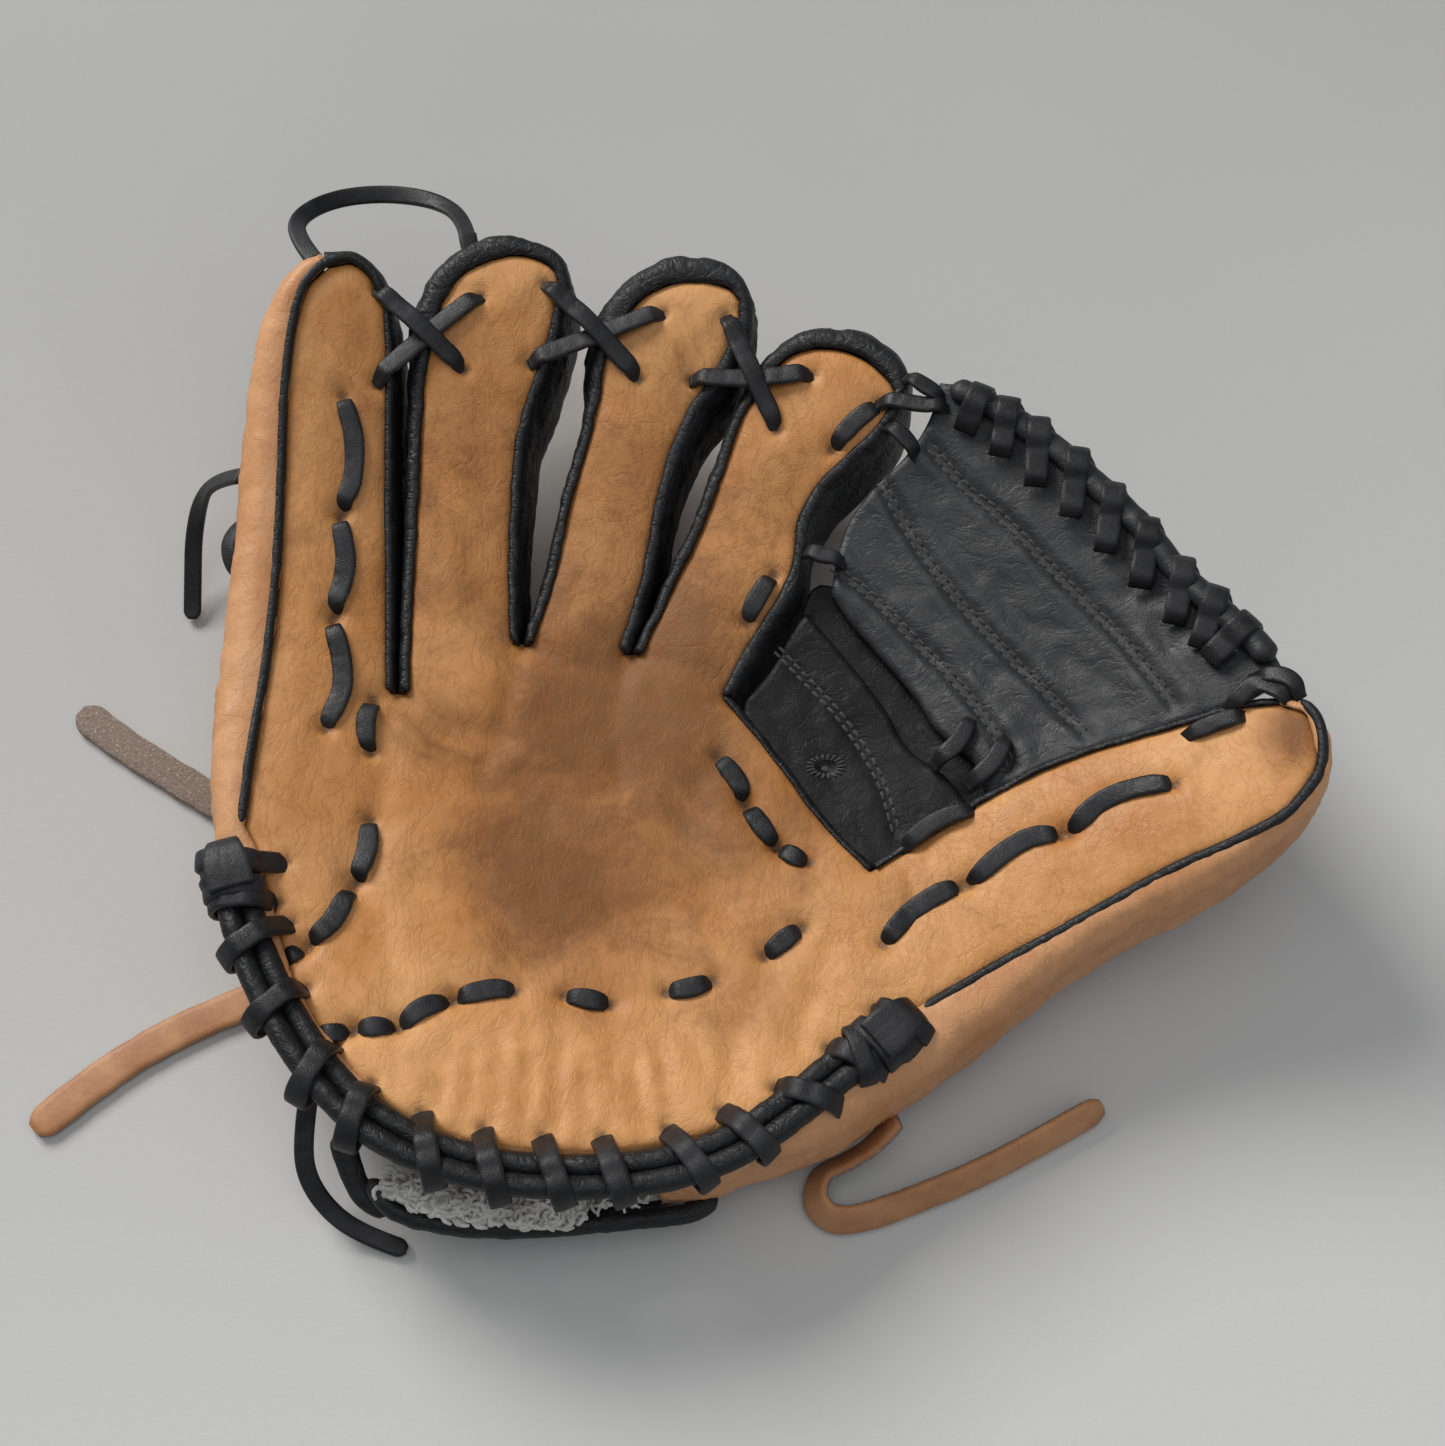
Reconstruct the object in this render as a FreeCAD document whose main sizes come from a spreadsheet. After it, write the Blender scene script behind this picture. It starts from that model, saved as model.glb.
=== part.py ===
"""A fielder's glove for the right hand, laid open on its back.

The palm side is a shallow bowl, part of a sphere. Every layer of the glove (front
leather, pad, lining, room for the hand, back leather) lies between two spheres round
the same centre, so a piece is a flat plan, drawn from above and raised to a blank,
cut to its layer. +X is the thumb side, +Y the fingertips, +Z up. The origin is on
the rest face, under the middle of the pocket. Millimetres.
"""
import FreeCAD, Part
import math
import os
import Sketcher
from FreeCAD import Placement, Rotation, Vector

os.makedirs("parts", exist_ok=True)
doc = FreeCAD.newDocument("FieldersGlove")

# Driving sizes: alias, value, what it is
SIZES = (
    ("glove_span", 262.0, "pinky edge to thumb tip, in plan"),
    ("glove_reach", 238.0, "heel roll to middle fingertip, in plan"),
    ("bowl_radius", 330.0, "sphere of the front leather"),
    ("pocket_rise", 25.0, "bottom of the pocket above the rest face"),
    ("front_skin", 2.6, "front leather"),
    ("pad_depth", 6.0, "felt and foam pad"),
    ("lining_skin", 1.4, "lining against the hand"),
    ("hand_room", 13.4, "space for the hand"),
    ("back_skin", 2.6, "back leather"),
    ("wall", 2.2, "side walls of the stalls"),
    ("lace_width", 4.6, "rawhide lace"),
    ("lace_skin", 1.6, "rawhide lace, thickness"),
    ("roll_radius", 2.6, "each of the two rolls round the heel"),
    ("whip_skin", 1.4, "lace wound round the rolls"),
    ("welt_width", 2.4, "piping between front and outer leather"),
    ("welt_rise", 1.2, "piping above the leather"),
    ("web_skin", 3.4, "web panels, two plies"),
    ("web_sink", 1.0, "web panels below the front leather"),
    ("strap_width", 24.0, "wrist strap"),
    ("anchor_width", 8.0, "tabs from the strap to the back panel"),
    ("fleece_pile", 4.5, "fleece under the strap"),
    ("binding_radius", 2.2, "rolled edge of the strap"),
    ("thong_width", 8.6, "tan adjusting thongs"),
    ("thong_skin", 2.4, "tan adjusting thongs, thickness"),
    ("fold_gap", 0.6, "between the bodies at rest"),
    ("pinky_drop", 6.0, "pinky fold's axis below the front leather, at the fingertip end"),
    ("blank_tall", 120.0, "plans are raised to this before they are cut"),
)
SPAN_DRAWN, REACH_DRAWN = 262.0, 238.0  # the plans below are drawn at this size

sheet = doc.addObject("Spreadsheet::Sheet", "Sizes")
for line, (alias, value, note) in enumerate(SIZES, start=1):
    sheet.set(f"A{line}", alias)
    sheet.set(f"B{line}", f"{value:g}")
    sheet.set(f"C{line}", note)
    sheet.setAlias(f"B{line}", alias)
doc.recompute()


def size(alias):
    return float(sheet.get(alias))


# Depths below the front surface, as sheet expressions
SKIN = "Sizes.front_skin"
PAD = f"({SKIN} + Sizes.pad_depth)"
LINING = f"({PAD} + Sizes.lining_skin)"
ROOM = f"({LINING} + Sizes.hand_room)"
BACK = f"({ROOM} + Sizes.back_skin)"
LACE = "(-Sizes.lace_skin)"
LACE_OVER = "(-2 * Sizes.lace_skin)"
WELT = "(-Sizes.welt_rise)"
WEB_TOP = "Sizes.web_sink"
WEB_LOW = "(Sizes.web_sink + Sizes.web_skin)"
FLEECE = f"({ROOM} - Sizes.fleece_pile)"
SURFACE = "0"

SPREAD = size("glove_span") / SPAN_DRAWN
STRETCH = size("glove_reach") / REACH_DRAWN
HALF_GAP = size("fold_gap") / 2
BOWL_CENTRE = size("pocket_rise") + size("bowl_radius")


def place(point):
    """A plan point, drawn for the standard size, at this glove's size."""
    return Vector(point[0] * SPREAD, point[1] * STRETCH, 0)


def rise(x, y, depth=0.0):
    """Height of a layer at a plan place."""
    reach = size("bowl_radius") + depth
    return BOWL_CENTRE - math.sqrt(reach * reach - x * x - y * y)


def on_bowl(point, depth=0.0):
    flat = place(point)
    return Vector(flat.x, flat.y, rise(flat.x, flat.y, depth))


# ---------------------------------------------------------------- building blocks
nodes = []


def keep(thing, label):
    """Names a finished sub-part."""
    thing.Label = label
    nodes.append(thing)
    return thing


def curve(points):
    """A line through two points, a smooth curve through more."""
    vectors = [p if isinstance(p, Vector) else place(p) for p in points]
    if len(vectors) == 2:
        return Part.LineSegment(*vectors)
    spline = Part.BSplineCurve()
    spline.interpolate(vectors)
    return spline


def plan(name, *stretches):
    """A sketch of the given stretches, each from where the last one ended."""
    sketch = doc.addObject("Sketcher::SketchObject", name)
    sketch.addGeometry([curve(points) for points in stretches], False)
    sketch.addConstraint([Sketcher.Constraint("Block", i) for i in range(len(stretches))])
    return sketch


def offset(source, amount, name):
    """Moves a closed plan outwards, or widens an open one to a strip.

    A STEP file keeps splines but loses curves that are only offsets of others, so the
    moved outline is kept as splines.
    """
    moved = doc.addObject("Part::Offset2D", name)
    moved.Source = source
    moved.setExpression("Value", amount)
    moved.recompute(True)
    splines = doc.addObject("Part::Feature", f"{name}_splines")
    splines.Shape = moved.Shape.toNurbs()
    return splines


def blank(source, name):
    """A plan raised to a block that reaches through every layer."""
    block = doc.addObject("Part::Extrusion", name)
    block.Base = source
    block.DirMode = "Custom"
    block.Dir = Vector(0, 0, 1)
    block.setExpression("LengthFwd", "Sizes.blank_tall")
    block.Solid = True
    block.Placement = Placement(Vector(0, 0, -size("back_skin")), Rotation())
    return block


def join(kind, base, tool, name):
    made = doc.addObject(f"Part::{kind}", name)
    made.Base = base
    made.Tool = tool
    return made


balls = {}
layers = {}


def ball(depth):
    if depth not in balls:
        sphere = doc.addObject("Part::Sphere", f"ball_{len(balls)}")
        sphere.setExpression("Radius", f"Sizes.bowl_radius + {depth}")
        sphere.setExpression("Placement.Base.z", "Sizes.pocket_rise + Sizes.bowl_radius")
        sphere.Placement.Rotation = Rotation(Vector(1, 0, 0), 90)
        balls[depth] = sphere
    return balls[depth]


def layer(top, low):
    """What lies between two depths."""
    if (top, low) not in layers:
        layers[top, low] = join("Cut", ball(low), ball(top), f"layer_{len(layers)}")
    return layers[top, low]


def plate(block, top, low, label, after=None):
    """A block cut to a layer, as a finished sub-part; after changes it first."""
    made = join("Common", block, layer(top, low), f"{label}_plate")
    if after:
        made = after(made)
    return keep(made, label)


def bar(points, width, name):
    """The plan of a straight strip with square ends."""
    first, last = place(points[0]), place(points[1])
    across = (last - first).cross(Vector(0, 0, 1))
    across.normalize()
    across *= width / 2
    corners = [first + across, last + across, last - across, first - across]
    return plan(name, *[[a, b] for a, b in zip(corners, corners[1:] + corners[:1])])


def strips(lines, width, name):
    """Open centre lines, each widened to a strip and raised, as one object."""
    made = []
    for number, points in enumerate(lines):
        if len(points) == 2:
            straight = bar(points, size(width.split(".")[1]), f"{name}_strip_{number}")
            made.append(blank(straight, f"{name}_blank_{number}"))
            continue
        middle = plan(f"{name}_line_{number}", points)
        made.append(blank(offset(middle, f"{width} / 2", f"{name}_strip_{number}"),
                          f"{name}_blank_{number}"))
    return made


def together(things, name):
    if len(things) == 1:
        return things[0]
    group = doc.addObject("Part::Compound", name)
    group.Links = things
    return group


def stitches(lines, label, top=LACE, low=SURFACE, width="Sizes.lace_width"):
    """Lengths of lace that lie on the leather, as one sub-part."""
    made = [join("Common", block, layer(top, low), f"{block.Name}_cut")
            for block in strips(lines, width, label)]
    return keep(together(made, f"{label}_group"), label)


def crossing(under, over, label):
    """Two lengths of lace that cross, the second one on top."""
    low = [join("Common", block, layer(LACE, SURFACE), f"{block.Name}_cut")
           for block in strips([under], "Sizes.lace_width", f"{label}_under")]
    high = [join("Common", block, layer(LACE_OVER, LACE), f"{block.Name}_cut")
            for block in strips([over], "Sizes.lace_width", f"{label}_over")]
    return keep(together(low + high, f"{label}_group"), label)


def route(points):
    """Straight runs with tangent arcs, each as large as its two runs allow."""
    edges, radii = [], []
    start = points[0]
    for before, corner, after in zip(points, points[1:], points[2:]):
        back, ahead = before - corner, after - corner
        trim = 0.45 * min(back.Length, ahead.Length)
        back.normalize()
        ahead.normalize()
        half_turn = (math.pi - back.getAngle(ahead)) / 2
        radius = trim / math.tan(half_turn)
        towards = back + ahead
        towards.normalize()
        middle = corner + towards * (radius / math.cos(half_turn) - radius)
        enter, leave = corner + back * trim, corner + ahead * trim
        edges += [Part.makeLine(start, enter), Part.Arc(enter, middle, leave).toShape()]
        radii.append(radius)
        start = leave
    edges.append(Part.makeLine(start, points[-1]))
    return Part.Wire(edges), radii


def tube(points, radius, name):
    """A round tube along a route, its radius a sheet expression."""
    wire, radii = route(points)
    spine = doc.addObject("Part::Feature", f"{name}_spine")
    spine.Shape = wire
    disc = doc.addObject("Part::Circle", f"{name}_disc")
    disc.setExpression("Radius", radius)
    facing = Rotation(Vector(0, 0, 1), points[1] - points[0])
    disc.Placement = Placement(points[0], facing)
    sweep = doc.addObject("Part::Sweep", f"{name}_sweep")
    sweep.Sections = [disc]
    sweep.Spine = (spine, [f"Edge{i + 1}" for i in range(len(wire.Edges))])
    sweep.Solid = True
    return sweep


def strap(points, width, skin, label):
    """A flat lace along a route, its width level, as a finished sub-part."""
    wire, radii = route(points)
    ahead = points[1] - points[0]
    ahead.normalize()
    across = ahead.cross(Vector(0, 0, 1))
    across.normalize()
    up = across.cross(ahead)
    corners = [points[0] + across * (width / 2 * i) + up * (skin / 2 * j)
               for i, j in ((1, 1), (-1, 1), (-1, -1), (1, -1), (1, 1))]
    shell = Part.BRepOffsetAPI.MakePipeShell(wire)
    shell.setBiNormalMode(Vector(0, 0, 1))
    shell.add(Part.makePolygon(corners))
    shell.build()
    shell.makeSolid()
    feature = doc.addObject("Part::Feature", label)
    feature.Shape = shell.shape()
    feature.Placement = Placement()
    share = feature.Shape.Volume / (width * skin * wire.Length)
    print(f"{label}: {wire.Length:.0f} mm, radii {min(radii):.0f} to {max(radii):.0f},"
          f" volume {share:.2f} of section times length")
    return keep(feature, label)


# ---------------------------------------------------------------- folds
PINKY_OPENS, PINKY_CLOSES = 3.0, 22.0  # degrees either way from rest
THUMB_OPENS, THUMB_CLOSES = 6.0, 35.0
SPARE_TURN = 1.0
PINKY_HEEL, PINKY_CROTCH, PINKY_TOP = (-66, -74), (-66, 34), (-66, 134)
THUMB_WEB, THUMB_HEEL = (51, -11), (25, -76)
LOW_REACH, HIGH_REACH = 60.0, 30.0  # of the room cut below and above an axis


def fold_axis(first, last, first_lift=0.0, last_lift=0.0):
    start, end = on_bowl(first), on_bowl(last)
    start.z += first_lift
    end.z += last_lift
    return start, end


def fold_room(name, axis, out, opens, closes, before, length):
    """What a turning body gives up beside its fold so that it can open and close."""
    start, end = axis
    along = end - start
    along.normalize()
    up = along.cross(out) * (1 if along.cross(out).z > 0 else -1)
    first = start - along * before
    low = first - up * LOW_REACH
    high = first + up * HIGH_REACH
    lean_low = LOW_REACH * math.tan(math.radians(opens + SPARE_TURN))
    lean_high = HIGH_REACH * math.tan(math.radians(closes + SPARE_TURN))
    outline = doc.addObject("Part::Polygon", f"{name}_outline")
    outline.Nodes = [low - out * LOW_REACH, low + out * (HALF_GAP + lean_low),
                     first + out * HALF_GAP, high + out * (HALF_GAP + lean_high),
                     high - out * LOW_REACH]
    outline.Close = True
    room = doc.addObject("Part::Extrusion", f"{name}_room")
    room.Base = outline
    room.DirMode = "Custom"
    room.Dir = along
    room.LengthFwd = length
    room.Solid = True
    return room


pinky_axis = fold_axis(PINKY_HEEL, PINKY_TOP, 0.0, -size("pinky_drop"))
thumb_axis = fold_axis(THUMB_WEB, THUMB_HEEL)
thumb_along = thumb_axis[1] - thumb_axis[0]
thumb_along.z = 0
thumb_along.normalize()
THUMB_OUT = Vector(-thumb_along.y, thumb_along.x, 0)
PINKY_OUT = Vector(-1, 0, 0)
PINKY_BEFORE, PINKY_PAST = 25.0, 12.0  # the room reaches this far past each end of a fold
THUMB_BEFORE, THUMB_PAST = 12.0, 48.0
pinky_room = fold_room("pinky_fold", pinky_axis, PINKY_OUT, PINKY_OPENS, PINKY_CLOSES, PINKY_BEFORE,
                       PINKY_BEFORE + place(PINKY_CROTCH).y - place(PINKY_HEEL).y + PINKY_PAST)
thumb_room = fold_room("thumb_fold", thumb_axis, THUMB_OUT, THUMB_OPENS, THUMB_CLOSES, THUMB_BEFORE,
                       THUMB_BEFORE + (thumb_axis[1] - thumb_axis[0]).Length + THUMB_PAST)
for name, axis in (("pinky_fold", pinky_axis), ("thumb_fold", thumb_axis)):
    print(name, "axis from", [round(v, 1) for v in axis[0]], "to",
          [round(v, 1) for v in axis[1]])


def beside(point, out):
    """A plan point moved off a fold by half its gap."""
    return place(point) + out * HALF_GAP


def clear_of(room):
    """A change for plate(): cuts a fold's room from a piece of the turning body."""
    return lambda thing: join("Cut", thing, room, f"{thing.Name}_cleared")


# ---------------------------------------------------------------- plans, palm body
heel_edge = [beside(PINKY_HEEL, -PINKY_OUT) + Vector(0, 7, 0), (-57, -73), (-44, -78.5),
             (-28, -81), (-10, -81), (8, -78), beside((27.5, -71), -THUMB_OUT)]
WEB_EDGE = [(16, 35), (21, 29), (29, 18), (39, 3), (50.6, -11)]
RING = ([(-63, 34), (-63, 57), (-62.3, 82), (-61.5, 107), (-60, 119), (-57, 131)],
        [(-57, 131), (-52, 138), (-43, 143), (-34, 144), (-27, 141), (-25.5, 137)],
        [(-25.5, 137), (-28, 126), (-31, 116), (-35, 104), (-36.8, 90), (-37.5, 72), (-36.5, 49)])
MIDDLE = ([(-33, 49), (-28, 67), (-24, 85), (-20, 100), (-17, 112), (-15, 122), (-11, 130)],
          [(-11, 130), (-5, 136), (3, 139), (11, 139), (18, 137), (20.5, 134)],
          [(20.5, 134), (20, 128), (15, 118), (8.5, 109), (3.5, 99), (0, 87), (-2.5, 74),
           (-5.5, 60), (-9.5, 47)])
INDEX = ([(-6, 47), (2.5, 65), (9.5, 80), (14.5, 93), (19, 105), (23, 112), (27, 117)],
         [(27, 117), (32, 121), (39, 122.5), (47, 121), (55, 116), (59.5, 110), (59, 106)],
         [(59, 106), (55.5, 101), (51, 97), (45, 92), (39, 86), (35, 78), (34, 69), (32, 63),
          (27, 55), (21, 45), (16, 35)])
RING_OUT = ([(-64.3, 34), (-64.5, 57), (-64.3, 85), (-64.2, 110), (-64, 127)],
            [(-64, 127), (-60, 136), (-53, 144), (-43, 148.5), (-33, 148), (-26, 144), (-23.5, 138)],
            [(-23.5, 138), (-26, 126), (-29.5, 115), (-33.5, 104), (-35.3, 90), (-36, 72), (-36, 48)])
MIDDLE_OUT = ([(-34.5, 48), (-29.5, 67), (-25.7, 85), (-21.8, 100), (-19.5, 112), (-19.5, 124)],
              [(-19.5, 124), (-16, 133), (-8, 141), (2, 145.5), (13, 145), (20, 140.5), (23, 134)],
              [(23, 134), (22, 126), (17, 116), (10.2, 108), (5.2, 98), (1.7, 87), (-0.8, 74),
               (-4, 60), (-8.7, 47)])
INDEX_OUT = ([(-6.8, 47), (1, 66), (8, 81), (13, 94), (17, 105), (20.5, 113)],
             [(20.5, 113), (26, 120.5), (33, 126), (41, 127.5), (50, 126.5), (58, 121.5), (63, 114)],
             [(63, 114), (61.5, 107), (57, 100.5), (50, 94), (43, 87.5), (37.5, 78), (36, 69),
              (34, 61.5), (29, 54), (23.5, 45), (17.5, 35.5)])
FINGERS = {"ring": (RING, RING_OUT), "middle": (MIDDLE, MIDDLE_OUT), "index": (INDEX, INDEX_OUT)}
CAP_FROM = {"ring": 112, "middle": 112, "index": 104}  # where the fingertip caps begin
ROOT_REACH = 9.0  # a stall's room runs this far into the palm

pinky_side = [heel_edge[0], beside(PINKY_CROTCH, -PINKY_OUT)]
palm_plan = plan("palm_plan", pinky_side, [pinky_side[1], RING[0][0]], *RING,
                 [RING[2][-1], MIDDLE[0][0]], *MIDDLE, [MIDDLE[2][-1], INDEX[0][0]], *INDEX,
                 WEB_EDGE, [WEB_EDGE[-1], heel_edge[-1]], heel_edge[::-1])
palm_blank = blank(palm_plan, "palm_blank")
plate(palm_blank, SURFACE, SKIN, "palm_leather")

PALM_CORE = [(-62, -66), (-62, 32), (-36, 42), (-8, 41), (13, 31), (34, 1), (45, -12), (23, -66)]
core_plan = plan("core_plan", *[[a, b] for a, b in zip(PALM_CORE, PALM_CORE[1:] + PALM_CORE[:1])])
core_blank = blank(core_plan, "core_blank")
plate(core_blank, SKIN, PAD, "palm_pad")
plate(core_blank, PAD, LINING, "palm_lining")


def extended(outline, reach):
    """A stall's outline with its open end moved towards the palm."""
    left, tip, right = outline
    (x0, y0), (x1, y1) = left[0], left[1]
    (x2, y2), (x3, y3) = right[-1], right[-2]
    pull = reach / math.hypot(x1 - x0, y1 - y0)
    push = reach / math.hypot(x3 - x2, y3 - y2)
    foot = (x0 - (x1 - x0) * pull, y0 - (y1 - y0) * pull)
    heel = (x2 - (x3 - x2) * push, y2 - (y3 - y2) * push)
    return [foot, left[0]], left, tip, right, [right[-1], heel], [heel, foot]


def stall(name, outline):
    """The U of side wall round a finger's room, and the block of the whole finger."""
    whole = blank(plan(f"{name}_plan", *outline, [outline[2][-1], outline[0][0]]), f"{name}_blank")
    longer = plan(f"{name}_long_plan", *extended(outline, ROOT_REACH))
    inner = blank(offset(longer, "-Sizes.wall", f"{name}_room_plan"), f"{name}_room")
    return whole, join("Cut", whole, inner, f"{name}_ring")


for name, (front, outer) in FINGERS.items():
    whole, ring = stall(name, outer)
    plate(ring, SKIN, ROOM, f"{name}_gusset")
    plate(whole, ROOM, BACK, f"{name}_back")
    tip = doc.addObject("Part::Box", f"{name}_tip_box")
    tip.Length, tip.Width = size("glove_span"), size("glove_reach")
    tip.setExpression("Height", "Sizes.blank_tall")
    tip.Placement.Base = Vector(-size("glove_span") / 2, CAP_FROM[name] * STRETCH, 0)
    rim = join("Cut", whole, palm_blank, f"{name}_rim")
    plate(join("Common", rim, tip, f"{name}_rim_tip"), SURFACE, SKIN, f"{name}_tip_cap")

BACK_EDGE = [(-64.3, 34), (-36, 48), (-34.5, 48), (-8.7, 47), (-6.8, 47), (17.5, 35.5),
             (21, 29), (29, 18), (39, 3), (50.6, -11)]
back_corner = [beside((35.6, -50), -THUMB_OUT), beside((-66, -50), -PINKY_OUT),
               beside(PINKY_CROTCH, -PINKY_OUT)]
back_points = [place(p) for p in BACK_EDGE] + back_corner
back_plan = plan("back_plan", *[[a, b] for a, b in zip(back_points, back_points[1:] + back_points[:1])])
floor = doc.addObject("Part::Box", "floor")
floor.Length = floor.Width = 2 * size("glove_span")
floor.Height = size("glove_span")
floor.Placement.Base = Vector(-size("glove_span"), -size("glove_span"), -size("glove_span"))
plate(blank(back_plan, "back_blank"), ROOM, BACK, "hand_back_panel",
      after=lambda thing: join("Cut", thing, floor, "back_flat"))

side_lines = strips([[(19.5, 29), (28, 16.5), (37, 2.5), (44.5, -7)]], "Sizes.wall", "web_side")
plate(side_lines[0], SKIN, ROOM, "web_side_gusset")

# Wrist strap, across the open end of the hand room
STRAP_LINE = [(-53, -76.2), (-42, -78), (-24, -79), (-6, -78), (9, -74)]
BINDING_GAP = 0.2
binding_drop = size("strap_width") / 2 + size("binding_radius") + BINDING_GAP
binding_depth = size("back_skin") / 2 + sum(size(alias) for alias in ("front_skin", "pad_depth",
                                                                     "lining_skin", "hand_room"))
BINDING_LINE = [(x, y - binding_drop / STRETCH) for x, y in STRAP_LINE]
strap_block = strips([STRAP_LINE], "Sizes.strap_width", "wrist_strap")[0]
plate(strap_block, ROOM, BACK, "wrist_strap")
fleece_block = strips([STRAP_LINE], "(Sizes.strap_width - 4)", "strap_fleece")[0]
plate(fleece_block, FLEECE, ROOM, "strap_fleece")
keep(tube([on_bowl(p, binding_depth) for p in BINDING_LINE], "Sizes.binding_radius", "strap_binding"),
     "strap_binding")
for name, line in (("pinky", [(-58, -50.6), (-56, -67)]), ("thumb", [(15.5, -51.2), (12.5, -64)])):
    anchor = strips([line], "Sizes.anchor_width", f"{name}_anchor")[0]
    anchor = join("Cut", anchor, strap_block, f"{name}_anchor_cut")  # its end lies along the strap
    plate(anchor, ROOM, BACK, f"strap_anchor_{name}")

# Heel rolls, in three lengths, and the lace wound round them
ROLL_LINE = [(-101, -12), (-97, -25), (-91, -40), (-83, -54), (-74, -66), (-63, -76), (-49, -83),
             (-32, -87), (-14, -87.5), (3, -85.5), (18, -80), (31, -71), (42, -62), (52, -55), (58, -50)]
WHIP_TURNS = {"pinky": 4, "palm": 7, "thumb": 3}
KNOT_RADIUS = 5.4
LACE_PLAY = 0.1  # between the rolls and the lace round them


def rolled(shift):
    """The roll's route, moved off the pair's middle line, on the leather's edge."""
    moved = []
    ends = zip([ROLL_LINE[0]] + ROLL_LINE, ROLL_LINE, ROLL_LINE[1:] + [ROLL_LINE[-1]])
    for before, here, after in ends:
        ahead = place(after) - place(before)
        ahead.normalize()
        flat = place(here) + Vector(-ahead.y, ahead.x, 0) * shift
        moved.append(Vector(flat.x, flat.y, rise(flat.x, flat.y)))
    return moved


def beyond(name, at, out, gap):
    """Everything on the turning body's side of a fold, and gap more."""
    reach = size("glove_span")
    side = Vector(0, 0, 1).cross(out)
    start = Vector(at.x, at.y, -reach / 2) + out * gap - side * reach / 2
    zone = doc.addObject("Part::Box", name)
    zone.Length = zone.Width = zone.Height = reach
    zone.Placement = Placement(start, Rotation(out, side, Vector(0, 0, 1), "ZXY"))
    return zone


pinky_zone = beyond("pinky_zone", place(PINKY_HEEL), PINKY_OUT, HALF_GAP)
thumb_zone = beyond("thumb_zone", place(THUMB_HEEL), THUMB_OUT, HALF_GAP)
not_palm = [beyond("pinky_side", place(PINKY_HEEL), PINKY_OUT, -HALF_GAP),
            beyond("thumb_side", place(THUMB_HEEL), THUMB_OUT, -HALF_GAP)]
for label, shift in (("heel_roll_inner", 1), ("heel_roll_outer", -1)):
    whole = tube(rolled(shift * size("roll_radius")), "Sizes.roll_radius", label)
    middle = join("Cut", whole, not_palm[0], f"{label}_left")
    keep(join("Cut", middle, not_palm[1], f"{label}_middle"), label)
    for body, zone, room in (("pinky", pinky_zone, pinky_room), ("thumb", thumb_zone, thumb_room)):
        length = join("Common", whole, zone, f"{body}_{label}_length")
        keep(clear_of(room)(length), f"{body}_{label}")

middle_line = Part.BSplineCurve()
middle_line.interpolate(rolled(0))
middle_edge = middle_line.toShape()


def share_at(fold_point, out):
    """Where the middle line crosses a fold, as a length along it."""
    steps = 400
    lengths = [middle_edge.Length * step / steps for step in range(steps + 1)]
    places = [middle_edge.valueAt(middle_edge.getParameterByLength(length)) for length in lengths]
    outside = [(here - place(fold_point)).dot(out) > 0 for here in places]
    return lengths[outside.index(not outside[0])]


pinky_cross = share_at(PINKY_HEEL, PINKY_OUT)
thumb_cross = share_at(THUMB_HEEL, THUMB_OUT)
CLEAR_TURN = 7.0  # from a fold to the nearest turn's middle
PINKY_END, THUMB_END = 11.0, 9.0  # from the rolls' ends to the nearest turn's middle
STRETCHES = {"pinky": (PINKY_END, pinky_cross - CLEAR_TURN),
             "palm": (pinky_cross + CLEAR_TURN, thumb_cross - CLEAR_TURN),
             "thumb": (thumb_cross + CLEAR_TURN, middle_edge.Length - THUMB_END)}


def turn_of_lace(name, length):
    """One turn of lace round both rolls."""
    parameter = middle_edge.getParameterByLength(length)
    here, ahead = middle_edge.valueAt(parameter), middle_edge.tangentAt(parameter)
    facing = Rotation(Vector(0, 0, 1), ahead)
    made = []
    for part, extra in (("out", " + Sizes.whip_skin"), ("in", "")):
        ring = doc.addObject("Part::Cylinder", f"{name}_{part}")
        ring.setExpression("Radius", f"2 * Sizes.roll_radius + {LACE_PLAY}{extra}")
        ring.setExpression("Height", "Sizes.lace_width")
        ring.Placement = Placement(here - ahead * (size("lace_width") / 2), facing)
        made.append(ring)
    return join("Cut", *made, name)


for body, count in WHIP_TURNS.items():
    first, last = STRETCHES[body]
    turns = [turn_of_lace(f"{body}_turn_{i}", first + (last - first) * i / (count - 1))
             for i in range(count)]
    if body != "palm":
        knot = doc.addObject("Part::Sphere", f"{body}_knot")
        knot.Radius = KNOT_RADIUS
        end = 0.0 if body == "pinky" else middle_edge.Length
        parameter = middle_edge.getParameterByLength(end)
        way = middle_edge.tangentAt(parameter) * (-1 if body == "pinky" else 1)
        knot.Placement.Base = middle_edge.valueAt(parameter) + way * KNOT_RADIUS
        turns.append(knot)
    wound = together(turns, f"{body}_turns")
    if body == "palm":
        clipped = join("Cut", wound, not_palm[0], "palm_turns_left")
        keep(join("Cut", clipped, not_palm[1], "palm_turns_middle"), "heel_whip_lace")
    else:
        zone, room = (pinky_zone, pinky_room) if body == "pinky" else (thumb_zone, thumb_room)
        clipped = join("Common", wound, zone, f"{body}_turns_clipped")
        keep(clear_of(room)(clipped), f"{body}_whip_lace")

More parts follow.
